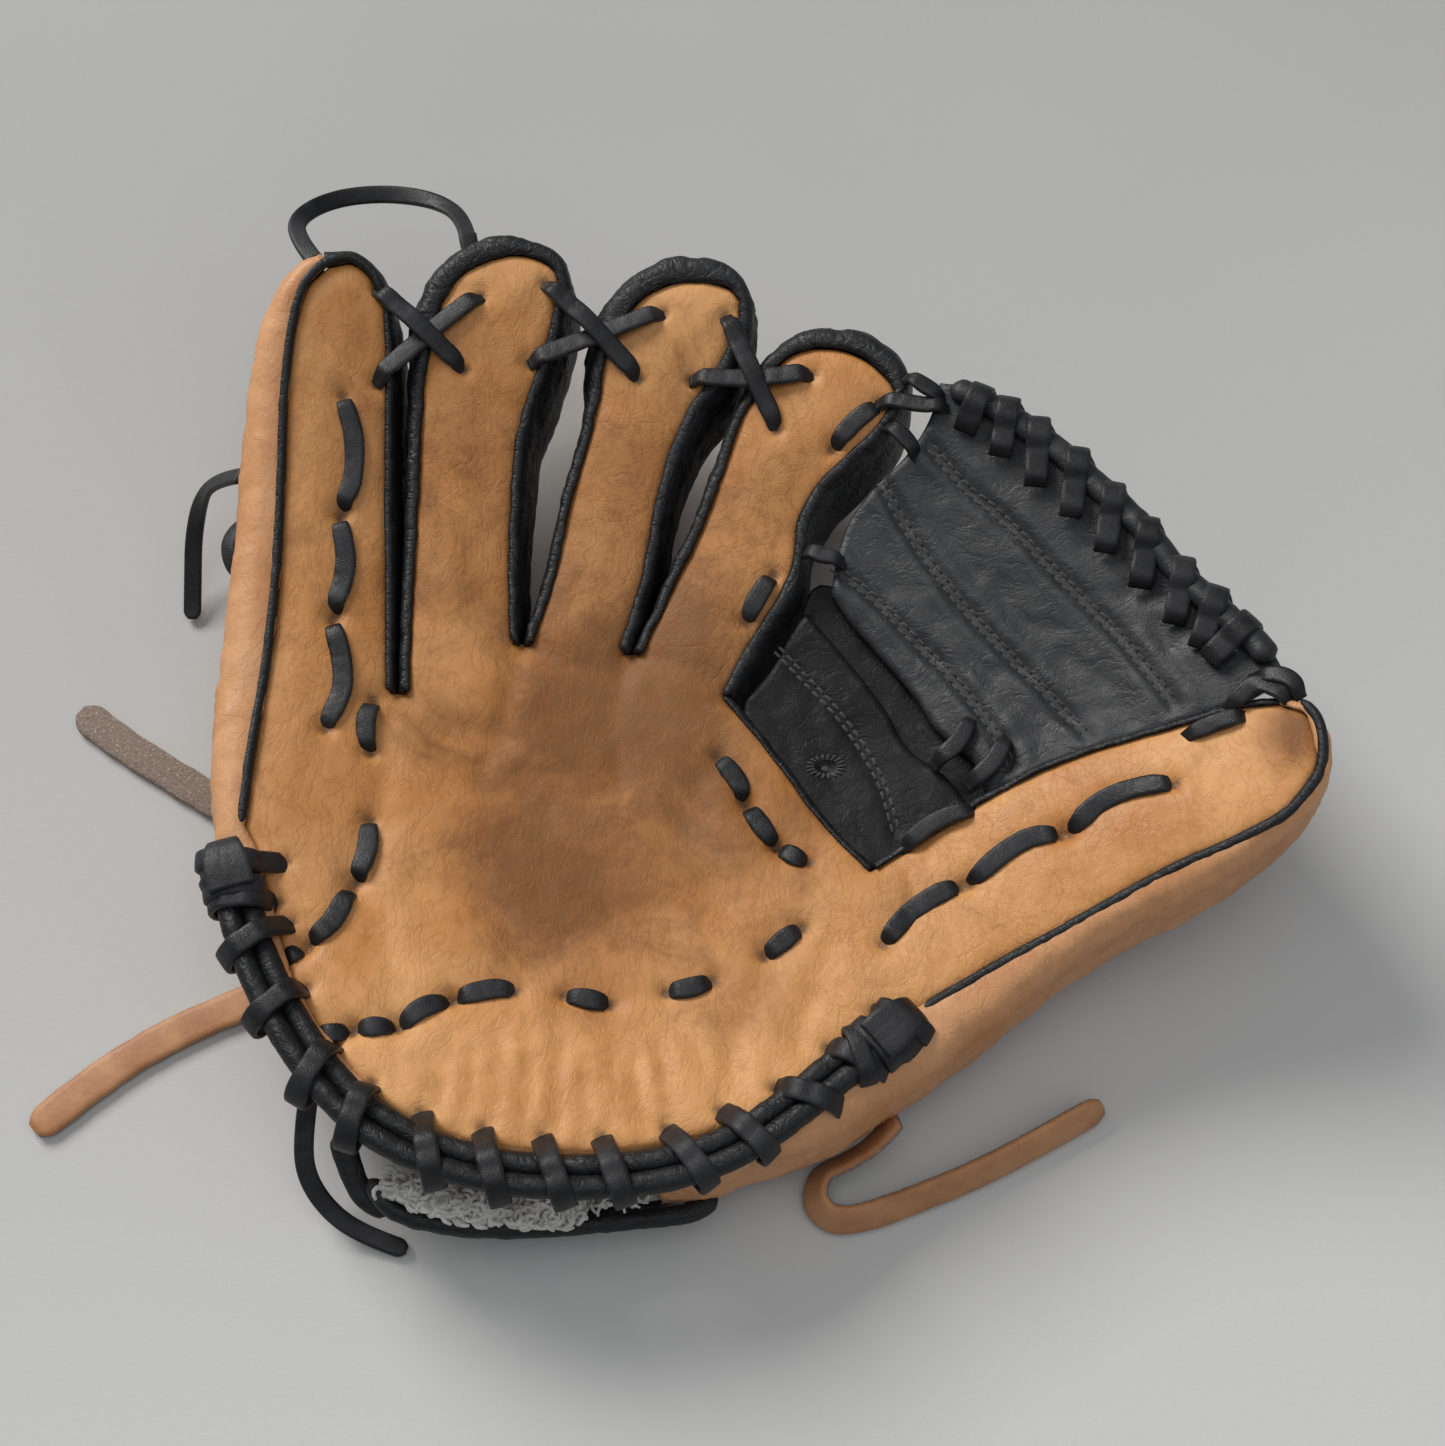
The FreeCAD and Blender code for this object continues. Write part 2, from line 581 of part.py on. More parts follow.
# ---------------------------------------------------------------- pinky body
PINKY_SLIT = [(-66.3, 34), (-67.3, 60), (-68.3, 90), (-68.5, 118), (-69, 128)]
PINKY_TIP = [(-69, 128), (-72, 135), (-78, 139), (-86, 139), (-92, 136)]
PINKY_SIDE = [(-92, 136), (-98, 127), (-102, 113), (-104, 90), (-105.5, 60), (-107, 35), (-107, 10),
              (-104, -8)]
PINKY_UNDER = [(-104, -8), (-98, -23), (-92, -38), (-84.5, -52), (-76, -65)]
PINKY_WELT = [(-84, 136.3), (-89, 131), (-92, 122), (-94, 103), (-94.3, 80), (-94.8, 55), (-96, 35),
              (-98, 12), (-98.5, -5)]
PINKY_FRONT_HEEL = [(-96, -9), (-93, -18), (-89, -30), (-85, -41), (-78, -53), (-71, -62)]
crotch = beside(PINKY_CROTCH, PINKY_OUT)
pinky_foot = beside((-66, -73.5), PINKY_OUT)
pinky_front_foot = beside((-66, -66.5), PINKY_OUT)
pinky_plan = plan("pinky_plan", [pinky_foot, crotch], [crotch] + PINKY_SLIT[1:], PINKY_TIP, PINKY_SIDE,
                  PINKY_UNDER + [pinky_foot])
pinky_blank = blank(pinky_plan, "pinky_blank")
front_plan = plan("pinky_front_plan", [pinky_front_foot, crotch], [crotch] + PINKY_SLIT[1:],
                  [PINKY_SLIT[-1], (-72, 134.5), (-77.5, 138), PINKY_WELT[0]], PINKY_WELT,
                  [PINKY_WELT[-1], PINKY_FRONT_HEEL[0]], PINKY_FRONT_HEEL + [pinky_front_foot])
front_blank = blank(front_plan, "pinky_front_blank")
plate(front_blank, SURFACE, SKIN, "pinky_leather", after=clear_of(pinky_room))
PINKY_CORE = [(-71.8, -58), (-71.8, 118), (-88, 117), (-91, 40), (-93, 0), (-86, -35)]
pinky_core = blank(plan("pinky_core", *[[a, b] for a, b in
                                        zip(PINKY_CORE, PINKY_CORE[1:] + PINKY_CORE[:1])]),
                   "pinky_core_blank")
plate(pinky_core, SKIN, PAD, "pinky_pad", after=clear_of(pinky_room))
plate(pinky_blank, ROOM, BACK, "pinky_back", after=clear_of(pinky_room))
pinky_ring = join("Cut", pinky_blank, blank(offset(pinky_plan, "-Sizes.wall", "pinky_room_plan"),
                                            "pinky_stall"), "pinky_ring")
BOX_LONG = 40  # a box that reaches past the pinky's slit side
slit_box = doc.addObject("Part::Box", "pinky_slit_box")
slit_box.Length, slit_box.Width, slit_box.Height = BOX_LONG, size("glove_reach"), size("blank_tall")
slit_box.Placement.Base = place((-80, 33)) - Vector(0, 0, size("back_skin"))
open_box = doc.addObject("Part::Box", "pinky_open_box")
open_box.Length, open_box.Height = BOX_LONG, size("blank_tall")
open_box.Width = place(PINKY_CROTCH).y - pinky_foot.y + size("wall")
open_box.Placement.Base = Vector(pinky_foot.x - size("wall") - 0.01, pinky_foot.y - size("wall"), 0)
plate(join("Common", pinky_ring, slit_box, "pinky_slit_wall"), SKIN, ROOM, "pinky_gusset",
      after=clear_of(pinky_room))
outer_wall = join("Cut", join("Cut", pinky_ring, slit_box, "pinky_outer_ring"), open_box,
                  "pinky_outer_wall")
outer_top = join("Cut", join("Cut", pinky_blank, front_blank, "pinky_over_welt"), open_box,
                 "pinky_outer_top")
HEEL_CUT = [(-120, -9), (-60, -9), (-60, -90), (-120, -90)]


def heel_free(thing, corners, name):
    """Leaves the rolls' place free at the heel."""
    edge = plan(f"{name}_heel", *[[a, b] for a, b in zip(corners, corners[1:] + corners[:1])])
    return join("Cut", thing, blank(edge, f"{name}_heel_blank"), f"{name}_heel_free")


outer_top = heel_free(outer_top, HEEL_CUT, "pinky_outer")
outer = join("Fuse", join("Common", outer_wall, layer(SKIN, ROOM), "pinky_wall_low"),
             join("Common", outer_top, layer(SURFACE, SKIN), "pinky_wall_top"), "pinky_outer_whole")
keep(clear_of(pinky_room)(outer), "pinky_outer_leather")
stitches([PINKY_WELT], "pinky_welt", top=WELT, low=SURFACE, width="Sizes.welt_width")
stitches([[(-80, 106), (-77, 96), (-77, 86), (-79.5, 78)], [(-80, 74), (-78, 64), (-80.5, 52)],
          [(-81, 48), (-78, 40), (-77.5, 32), (-81, 22)], [(-70.5, 31), (-71.5, 24), (-70.5, 17)],
          [(-69.5, 0), (-69.5, -8), (-71.5, -16)], [(-72.5, -20), (-76, -27), (-81, -32.5)]],
         "pinky_lace")

# ---------------------------------------------------------------- thumb body
WEB_SIDE = [(51.6, -10.6), (59, -6), (70, 0), (78, 5), (91, 11), (105, 15), (123, 18), (136, 20),
            (146, 19.5)]
THUMB_TIP = [(146, 19.5), (151.5, 16.5), (154.7, 10), (154.5, 3), (151, -5)]
THUMB_SIDE = [(151, -5), (138, -15.5), (124, -23), (111, -28.5), (97, -36), (85, -45), (73, -54),
              (62, -62)]
THUMB_UNDER = [(62, -62), (51, -69), (39, -76.5)]
THUMB_WELT = [(148.5, -4), (144, -8.5), (133, -13.5), (120, -18), (107, -24), (93, -31), (79, -38),
              (68, -44), (61, -48)]
THUMB_FRONT_HEEL = [(57, -47.5), (51, -50), (43, -57), (34, -65)]
thumb_top = beside(THUMB_WEB, THUMB_OUT)
thumb_foot = beside((22.6, -82), THUMB_OUT)
thumb_front_foot = beside((26, -73.5), THUMB_OUT)
thumb_plan = plan("thumb_plan", [thumb_foot, thumb_top], [thumb_top] + WEB_SIDE[1:], THUMB_TIP,
                  THUMB_SIDE, THUMB_UNDER + [thumb_foot])
thumb_blank = blank(thumb_plan, "thumb_blank")
thumb_front = plan("thumb_front_plan", [thumb_front_foot, thumb_top], [thumb_top] + WEB_SIDE[1:],
                   [WEB_SIDE[-1], (150.5, 16), (152.3, 9.5), (152, 2), THUMB_WELT[0]], THUMB_WELT,
                   [THUMB_WELT[-1], THUMB_FRONT_HEEL[0]], THUMB_FRONT_HEEL + [thumb_front_foot])
thumb_front_blank = blank(thumb_front, "thumb_front_blank")
plate(thumb_front_blank, SURFACE, SKIN, "thumb_leather", after=clear_of(thumb_room))
THUMB_CORE = [(60, -11), (80, 1), (118, 12), (138, 12), (138, -5), (92, -27), (50, -46), (38, -57)]
thumb_core = blank(plan("thumb_core", *[[a, b] for a, b in
                                        zip(THUMB_CORE, THUMB_CORE[1:] + THUMB_CORE[:1])]),
                   "thumb_core_blank")
plate(thumb_core, SKIN, PAD, "thumb_pad", after=clear_of(thumb_room))
plate(thumb_blank, ROOM, BACK, "thumb_back", after=clear_of(thumb_room))
thumb_ring = join("Cut", thumb_blank, blank(offset(thumb_plan, "-Sizes.wall", "thumb_room_plan"),
                                            "thumb_stall"), "thumb_ring")
OPEN_WALL = size("wall") + 0.1
open_corners = [thumb_top - THUMB_OUT, thumb_top + THUMB_OUT * OPEN_WALL,
                thumb_foot + THUMB_OUT * OPEN_WALL, thumb_foot - THUMB_OUT]
thumb_open = blank(plan("thumb_open", *[[a, b] for a, b in
                                        zip(open_corners, open_corners[1:] + open_corners[:1])]),
                   "thumb_open_blank")
WEB_HALF = [(40, 0), (56, -16), (100, -8), (147, 5), (175, 7), (175, 60), (40, 60)]
web_half = blank(plan("web_half", *[[a, b] for a, b in zip(WEB_HALF, WEB_HALF[1:] + WEB_HALF[:1])]),
                 "web_half_blank")
open_ring = join("Cut", thumb_ring, thumb_open, "thumb_open_ring")
plate(join("Common", open_ring, web_half, "thumb_web_wall"), SKIN, ROOM, "thumb_gusset",
      after=clear_of(thumb_room))
thumb_wall = join("Cut", open_ring, web_half, "thumb_outer_wall")
thumb_over = join("Cut", join("Cut", thumb_blank, thumb_front_blank, "thumb_over_welt"), thumb_open,
                  "thumb_outer_top")
THUMB_HEEL_CUT = [(64.5, -40), (64.5, -100), (10, -100), (10, -40)]
thumb_over = heel_free(thumb_over, THUMB_HEEL_CUT, "thumb_outer")
outer = join("Fuse", join("Common", thumb_wall, layer(SKIN, ROOM), "thumb_wall_low"),
             join("Common", thumb_over, layer(SURFACE, SKIN), "thumb_wall_top"), "thumb_outer_whole")
keep(clear_of(thumb_room)(outer), "thumb_outer_leather")
stitches([THUMB_WELT], "thumb_welt", top=WELT, low=SURFACE, width="Sizes.welt_width")
stitches([[(53, -31), (59, -24), (66, -19.5), (71.5, -17.5)], [(76, -16), (82, -10), (88, -7), (93, -7)],
          [(98, -6), (104, 0), (112, 2.5), (121, 2.5)]], "thumb_lace")

# ---------------------------------------------------------------- laces of the palm body
stitches([[(14, 19), (19.5, 11), (20, 7.5)], [(22, 4), (25.5, -1), (28, -4)],
          [(-59, -52), (-54, -47.5), (-48, -45)], [(-43, -43.5), (-38, -42), (-33, -42)],
          [(-22, -43), (-16.5, -44), (-11, -45)], [(2, -42), (8, -41), (13, -39)],
          [(25, -33), (30, -29), (34, -26)], [(21, 54), (24, 60), (28, 66)], [(43, 97), (49, 103), (55, 107)]],
         "palm_lace")
crossing([(-46, 133), (-58, 123), (-72, 110)], [(-72, 132), (-61, 123), (-50, 115)], "pinky_ring_lace")
crossing([(-34, 118), (-18, 124), (0, 131)], [(-30, 137), (-18, 126), (-6, 115)], "ring_middle_lace")
crossing([(7, 115), (22, 114), (38, 115)], [(16, 130), (22, 116), (29, 102)], "middle_index_lace")

# ---------------------------------------------------------------- web, between index and thumb
WEB_TOP_LINE = [(70, 111), (81, 108), (91, 100), (101, 92), (110, 81), (119, 70), (127, 57), (136, 45),
                (143, 36), (146.5, 27)]
upper_web = plan("web_upper_plan", WEB_TOP_LINE,
                 [(146.5, 27), (136, 24.5), (123, 21), (105, 17.5), (93, 14), (84, 10.5), (78, 7.5)],
                 [(78, 7.5), (75, 15), (66, 24), (61, 34), (52, 46), (43, 56), (39.5, 61)],
                 [(39.5, 61), (40, 67), (42.5, 78), (49, 86.5), (56, 92), (63, 98), (67.5, 104), (70, 111)])
plate(blank(upper_web, "web_upper_blank"), WEB_TOP, WEB_LOW, "web_upper_panel")
lower_web = plan("web_lower_plan", [(20.5, 35), (27, 43), (33, 53), (37.5, 59)],
                 [(37.5, 59), (49, 45), (58.5, 33), (63.5, 22.5), (72, 14), (75, 6)],
                 [(75, 6), (68, 1.5), (58, -4), (50.5, -8.5)],
                 [(50.5, -8.5), (40.5, 4), (30.5, 19), (22, 31), (20.5, 35)])
plate(blank(lower_web, "web_lower_blank"), WEB_TOP, WEB_LOW, "web_lower_panel")
ROLL_PLAN = [(77, 106.5), (90, 97), (99, 89), (108, 79), (117, 68), (125, 55), (134, 43), (141, 34)]
roll_block = strips([ROLL_PLAN], "7", "web_top_roll")[0]
plate(roll_block, "(-Sizes.lace_skin)", WEB_TOP, "web_top_roll")


TURN_REACH = 5.5  # each way across the roll


def web_turns():
    """Lengths of lace laid across the web's top roll."""
    lines = []
    for (x0, y0), (x1, y1) in zip(ROLL_PLAN, ROLL_PLAN[1:]):
        length = math.hypot(x1 - x0, y1 - y0)
        across = ((y1 - y0) / length, (x0 - x1) / length)
        middle = ((x0 + x1) / 2, (y0 + y1) / 2)
        lines.append([(middle[0] - TURN_REACH * across[0], middle[1] - TURN_REACH * across[1]),
                      (middle[0] + TURN_REACH * across[0], middle[1] + TURN_REACH * across[1])])
    return lines


stitches(web_turns(), "web_whip_lace", top=LACE_OVER, low=LACE)
stitches([[(58.5, 103), (66, 104.5), (73, 101.5)], [(57, 99), (61, 93.5), (65, 90)],
          [(37, 71), (43, 68.5), (48, 66)]], "index_web_lace")
stitches([[(125, 14), (131, 15.5), (137, 16)], [(135, 18.5), (141, 23), (147, 19)]], "web_thumb_lace")
stitches([[(60, -4), (66, 3), (78, 4.5)]], "web_base_lace")

# ---------------------------------------------------------------- free ends
THONG = (size("thong_width"), size("thong_skin"))
TAIL = (size("lace_width"), size("lace_skin"))
ON_FLOOR = size("thong_skin") / 2


def way(points):
    return [Vector(*p) for p in points]


strap(way([(-60, 4, ON_FLOOR), (-76, 3, ON_FLOOR), (-93, 7, ON_FLOOR), (-111, 15, ON_FLOOR),
           (-127, 25, ON_FLOOR), (-141, 34, ON_FLOOR), (-151, 42, ON_FLOOR)]), *THONG, "wrist_thong_long")
strap(way([(-62, -22, ON_FLOOR), (-76, -26, ON_FLOOR), (-90, -31, ON_FLOOR), (-104, -37, ON_FLOOR),
           (-121, -45, ON_FLOOR), (-137, -56, ON_FLOOR), (-150, -68, ON_FLOOR)]), *THONG,
      "wrist_thong_short")
strap(way([(56, -68.7, 15), (51.5, -73.5, 11.5), (45, -77, 8), (38, -79.5, 5.5), (36.5, -86, 4.6),
           (41, -90.5, 4.4), (49, -89.5, 4.4), (60, -85.5, 4.4), (74, -80, 4.4), (90, -72, 4.4),
           (106, -63, 4.4)]), *THONG[::-1], "thumb_thong")
strap(way([(-80, -66, 27), (-82, -74, 20), (-82, -82, 12), (-76, -89.5, 5), (-67, -94, 1.5),
           (-59, -96.5, 0.9)]), *TAIL, "heel_lace_tail")
strap(way([(-106.5, 90, 40), (-114, 93, 33), (-120, 93, 24), (-123.5, 87, 14), (-124.5, 78, 6),
           (-124.8, 69, 1.2)]), *TAIL, "finger_lace_tail")
strap(way([(-88, 140.5, 61), (-94, 149, 60), (-94, 159, 55), (-86, 168, 50), (-73, 171, 48),
           (-60, 168, 49), (-52, 160, 52), (-50, 149.5, 57)]), *TAIL, "fingertip_loop")

# ---------------------------------------------------------------- check and write
doc.recompute()
faults = [thing.Name for thing in doc.Objects if {"Invalid", "Error"} & set(thing.State)]
for thing in nodes:
    if thing.Shape.isNull() or not thing.Shape.isValid() or thing.Shape.Volume <= 0:
        faults.append(thing.Label)
if faults:
    raise RuntimeError(f"these failed: {faults}")
for thing in nodes:
    thing.Shape.exportStep(f"parts/{thing.Label}.step")
print(len(nodes), "sub-parts written")
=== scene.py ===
"""Looks of a fielder's glove: front leather, stalls, web, laces, heel rolls and thongs.

Plan places are in millimetres, +X to the thumb and +Y to the fingertips. Heights hang
on the same bowl as the frame. Everything is turned into metres when a piece is made.
"""

import math
import random

import bmesh
import bpy
import numpy as np
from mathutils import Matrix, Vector, noise
from mathutils.geometry import delaunay_2d_cdt


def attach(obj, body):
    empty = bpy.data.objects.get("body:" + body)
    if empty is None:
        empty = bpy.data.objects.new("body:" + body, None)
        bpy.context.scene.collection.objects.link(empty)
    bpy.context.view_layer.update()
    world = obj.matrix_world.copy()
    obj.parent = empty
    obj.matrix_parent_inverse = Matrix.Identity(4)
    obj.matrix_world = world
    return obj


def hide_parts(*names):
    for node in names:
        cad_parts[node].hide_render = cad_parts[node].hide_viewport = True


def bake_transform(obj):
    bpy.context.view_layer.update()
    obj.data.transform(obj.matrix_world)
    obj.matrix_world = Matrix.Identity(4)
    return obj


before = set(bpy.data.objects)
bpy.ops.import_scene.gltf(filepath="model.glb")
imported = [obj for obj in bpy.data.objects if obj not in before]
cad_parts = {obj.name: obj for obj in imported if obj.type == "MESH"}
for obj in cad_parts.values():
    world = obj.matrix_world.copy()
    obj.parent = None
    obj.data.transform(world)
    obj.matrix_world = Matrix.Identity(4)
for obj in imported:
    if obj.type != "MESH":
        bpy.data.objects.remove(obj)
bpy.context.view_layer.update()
MM = 0.001
random.seed(7)

# ---------------------------------------------------------------- camera, floor, light
scene = bpy.context.scene
camera = bpy.data.objects.new("camera", bpy.data.cameras.new("camera"))
scene.collection.objects.link(camera)
camera.data.lens = 57.5
camera.data.sensor_width = 36.0
camera.location = (0.01516, -0.20407, 0.54714)
camera.rotation_euler = (math.radians(24.0), 0.0, 0.0)
camera.data.clip_start = 0.01
scene.camera = camera
scene.view_settings.view_transform = "Standard"


def lamp(name, place, aim, side, watts, colour):
    """A square soft light."""
    light = bpy.data.lights.new(name, "AREA")
    light.size, light.energy, light.color = side, watts, colour
    holder = bpy.data.objects.new(name, light)
    holder.location = place
    holder.rotation_euler = (Vector(aim) - Vector(place)).to_track_quat("-Z", "Y").to_euler()
    scene.collection.objects.link(holder)


lamp("window", (-1.15, 1.35, 1.45), (0, 0, 0.02), 1.0, 47.0, (1.0, 0.985, 0.96))
lamp("room", (0.9, -0.5, 1.3), (0, 0, 0.02), 1.6, 3.0, (0.97, 0.98, 1.0))
lamp("ceiling", (0.0, -0.1, 1.8), (0, 0, 0), 1.2, 6.0, (1.0, 1.0, 1.0))
world = bpy.data.worlds.new("room")
world.use_nodes = True
world.node_tree.nodes["Background"].inputs[0].default_value = (0.9, 0.93, 1.0, 1.0)
world.node_tree.nodes["Background"].inputs[1].default_value = 0.24
scene.world = world


# ---------------------------------------------------------------- finishes
class Wire:
    """A shader value that takes part in sums."""

    def __init__(self, finish, socket):
        self.finish, self.socket = finish, socket

    def _sum(self, operation, *values):
        return self.finish.node("Math", {"operation": operation}, dict(enumerate(values)))

    def __add__(self, other):
        return self._sum("ADD", self, other)

    __radd__ = __add__

    def __sub__(self, other):
        return self._sum("SUBTRACT", self, other)

    def __rsub__(self, other):
        return self._sum("SUBTRACT", other, self)

    def __mul__(self, other):
        return self._sum("MULTIPLY", self, other)

    __rmul__ = __mul__

    def __truediv__(self, other):
        return self._sum("DIVIDE", self, other)

    def __pow__(self, other):
        return self._sum("POWER", self, other)


class Finish:
    """A node material, written as sums of wires."""

    def __init__(self, name, **constants):
        self.material = bpy.data.materials.new(name)
        self.material.use_nodes = True
        self.tree = self.material.node_tree
        self.shader = self.tree.nodes["Principled BSDF"]
        for socket, value in constants.items():
            self.shader.inputs[socket.replace("_", " ")].default_value = value

    def node(self, kind, settings, inputs, out=0):
        made = self.tree.nodes.new(f"ShaderNode{kind}")
        for key, value in settings.items():
            if key == "stops":
                ramp = made.color_ramp.elements
                ramp[0].position, ramp[0].color = value[0]
                ramp[1].position, ramp[1].color = value[-1]
                for place, colour in value[1:-1]:
                    ramp.new(place).color = colour
            else:
                setattr(made, key, value)
        for key, value in inputs.items():
            if isinstance(value, Wire):
                self.tree.links.new(value.socket, made.inputs[key])
            else:
                made.inputs[key].default_value = value
        return Wire(self, made.outputs[out])

    def kept(self, name, out="Fac"):
        """A value kept at the piece's points."""
        return self.node("Attribute", {"attribute_name": name}, {}, out)

    def mottle(self, place, scale, detail=4.0, rough=0.55, bent=0.0):
        return self.node("TexNoise", {}, {"Vector": place, "Scale": scale, "Detail": detail,
            "Roughness": rough, "Distortion": bent})

    def cells(self, place, scale, feature="DISTANCE_TO_EDGE", loose=1.0):
        return self.node("TexVoronoi", {"feature": feature},
            {"Vector": place, "Scale": scale, "Randomness": loose})

    def band(self, wire, low, high, start=0.0, end=1.0):
        """start below low, end above high, smooth between."""
        return self.node("MapRange", {"interpolation_type": "SMOOTHSTEP"},
            {"Value": wire, "From Min": low, "From Max": high, "To Min": start, "To Max": end})

    def mix(self, first, second, share, how="MIX"):
        return self.node("Mix", {"data_type": "RGBA", "blend_type": how},
            {0: share, 6: first, 7: second}, 2)

    def stretched(self, place, sizes, turn=(0.0, 0.0, 0.0)):
        return self.node("Mapping", {}, {"Vector": place, "Scale": sizes, "Rotation": turn})

    def bent_by(self, place, wobble, amount):
        """place moved about by a coloured noise, so that cells and lines aren't straight."""
        moved = self.node("VectorMath", {"operation": "SCALE"}, {0: wobble, "Scale": amount})
        return self.node("VectorMath", {"operation": "ADD"}, {0: place, 1: moved})

    def bump(self, height, depth, strength=1.0):
        made = self.node("Bump", {}, {"Height": height, "Distance": depth, "Strength": strength})
        self.tree.links.new(made.socket, self.shader.inputs["Normal"])

    def feed(self, **wires):
        for socket, wire in wires.items():
            self.tree.links.new(wire.socket, self.shader.inputs[socket.replace("_", " ")])
        return self.material


def tan_leather(name, light, mid, dark, worn):
    """Oiled tan cowhide: blotched, creased, dark where hands and balls have been."""
    f = Finish(name, Specular_IOR_Level=0.3)
    place = f.kept("place", "Vector")
    broad = f.mottle(place, 26.0, 5.0, 0.6, 0.4)
    fine = f.mottle(place, 210.0, 6.0, 0.65)
    grain = f.cells(place, 1150.0)
    wobble = f.node("TexNoise", {}, {"Vector": place, "Scale": 60.0, "Detail": 3.0}, 1)
    bent = f.bent_by(place, wobble, 0.016)
    creases = f.band(f.cells(bent, 70.0), 0.0, 0.04)
    hairlines = f.band(f.cells(f.stretched(bent, (1.0, 2.2, 1.0)), 190.0), 0.0, 0.07)
    lines = f.mottle(f.stretched(bent, (2.6, 0.7, 1.0), (0, 0, 0.35)), 120.0, 3.0, 0.5)
    furrows = f.band((lines - 0.5) * (lines - 0.5), 0.0, 0.0022)
    worked = f.band(f.mottle(place, 19.0, 3.0, 0.5, 0.8), 0.44, 0.66)
    grime, rim, press = f.kept("grime"), f.kept("rim"), f.kept("press")
    cloudy = f.mottle(place, 55.0, 6.0, 0.7, 0.9)
    colour = f.mix(mid, light, f.band(broad, 0.34, 0.68))
    colour = f.mix(colour, dark, f.band(cloudy, 0.5, 0.8, 0.0, 0.34))
    colour = f.mix(colour, dark, f.band(grime + (broad - 0.5) * 1.3 + (cloudy - 0.5) * 0.9, 0.05, 0.9,
        0.0, 0.62))
    colour = f.mix(colour, worn, f.band(grime + (cloudy - 0.5) * 2.4 + (fine - 0.5) * 0.9, 0.5, 1.6,
        0.0, 0.6))
    colour = f.mix(colour, dark, (1.0 - creases) * worked * 0.12)
    colour = f.mix(colour, dark, (1.0 - hairlines) * worked * 0.07)
    colour = f.mix(colour, dark, (1.0 - furrows) * (0.12 + grime * 0.16))
    # Lighter where the rim value is high: rubbed edges, and on the front leather also painted highlight
    # along its rounded edges and painted light on the heel.
    colour = f.mix(colour, light, f.band(rim + (fine - 0.5) * 0.8, 0.3, 1.1, 0.0, 0.6))
    # Near-black brown round the lace holes, beside the laces and along the very edge of the front leather.
    colour = f.mix(colour, (0.045, 0.024, 0.013, 1.0),
        f.band(press + (fine - 0.5) * 0.5, 0.4, 1.05, 0.0, 0.8))
    scuffs = f.band(f.mottle(f.stretched(place, (9.0, 1.2, 1.0), (0, 0, 0.6)), 46.0, 8.0, 0.75), 0.62, 0.74)
    colour = f.mix(colour, light, scuffs * 0.3)
    height = (grain * 0.22 + fine * 0.55 + creases * worked * 0.18 + hairlines * worked * 0.15
              + furrows * 0.16 + cloudy * 0.5 + f.mottle(place, 620.0, 3.0) * 0.4)
    f.bump(height, 0.0004, 0.7)
    return f.feed(Base_Color=colour, Roughness=f.band(broad * 0.5 + fine * 0.5 + grime * 0.2, 0.3, 0.75,
        0.36, 0.6))


def black_leather(name, deep, worn, wrinkle=1.0, sheen=0.5):
    """Dyed black hide, wrinkled, rubbed grey along its folds."""
    f = Finish(name, Specular_IOR_Level=sheen)
    place = f.kept("place", "Vector")
    broad = f.mottle(place, 34.0, 4.0, 0.55, 0.5)
    fine = f.mottle(place, 260.0, 6.0, 0.65)
    wobble = f.node("TexNoise", {}, {"Vector": place, "Scale": 85.0, "Detail": 3.0}, 1)
    bent = f.bent_by(place, wobble, 0.012)
    folds = f.band(f.cells(bent, 170.0), 0.0, 0.12)
    small = f.band(f.cells(bent, 520.0), 0.0, 0.16)
    pebble = f.cells(place, 1350.0)
    rim = f.kept("rim")
    colour = f.mix(deep, worn, f.band(broad + (fine - 0.5) * 0.6, 0.48, 0.85, 0.0, 0.65))
    colour = f.mix(colour, worn, f.band(rim + (fine - 0.5), 0.55, 1.25, 0.0, 0.6))
    lines = f.mottle(f.stretched(bent, (0.8, 2.4, 1.0), (0, 0, 0.75)), 110.0, 3.0, 0.5)
    furrows = f.band((lines - 0.5) * (lines - 0.5), 0.0, 0.003)
    colour = f.mix(colour, (0.006, 0.006, 0.007, 1.0), (1.0 - folds) * (0.4 * wrinkle))
    height = (folds * (0.55 * wrinkle) + small * (0.35 * wrinkle) + furrows * 0.16 + fine * 0.5
              + broad * 0.6 + pebble * 0.2)
    f.bump(height, 0.00045, 0.75)
    return f.feed(Base_Color=colour, Roughness=f.band(fine * 0.6 + broad * 0.4, 0.3, 0.75, 0.4, 0.64))


def lace_finish(name):
    """Black rawhide lace: waxy face, fibrous worn edges."""
    f = Finish(name, Specular_IOR_Level=0.34)
    place = f.kept("place", "Vector")
    fine = f.mottle(place, 420.0, 6.0, 0.65)
    broad = f.mottle(place, 75.0, 4.0, 0.6, 0.6)
    pores = f.cells(place, 1600.0)
    rim = f.kept("rim")
    colour = f.mix((0.008, 0.0083, 0.0095, 1), (0.024, 0.0245, 0.028, 1), f.band(broad, 0.4, 0.72))
    colour = f.mix(colour, (0.085, 0.082, 0.08, 1), f.band(rim + (fine - 0.5) * 1.3, 0.62, 1.35, 0.0, 0.55))
    f.bump(fine * 0.8 + pores * 0.35 + broad * 0.9, 0.00032, 0.8)
    return f.feed(Base_Color=colour, Roughness=f.band(fine * 0.5 + broad * 0.5, 0.3, 0.7, 0.34, 0.58))


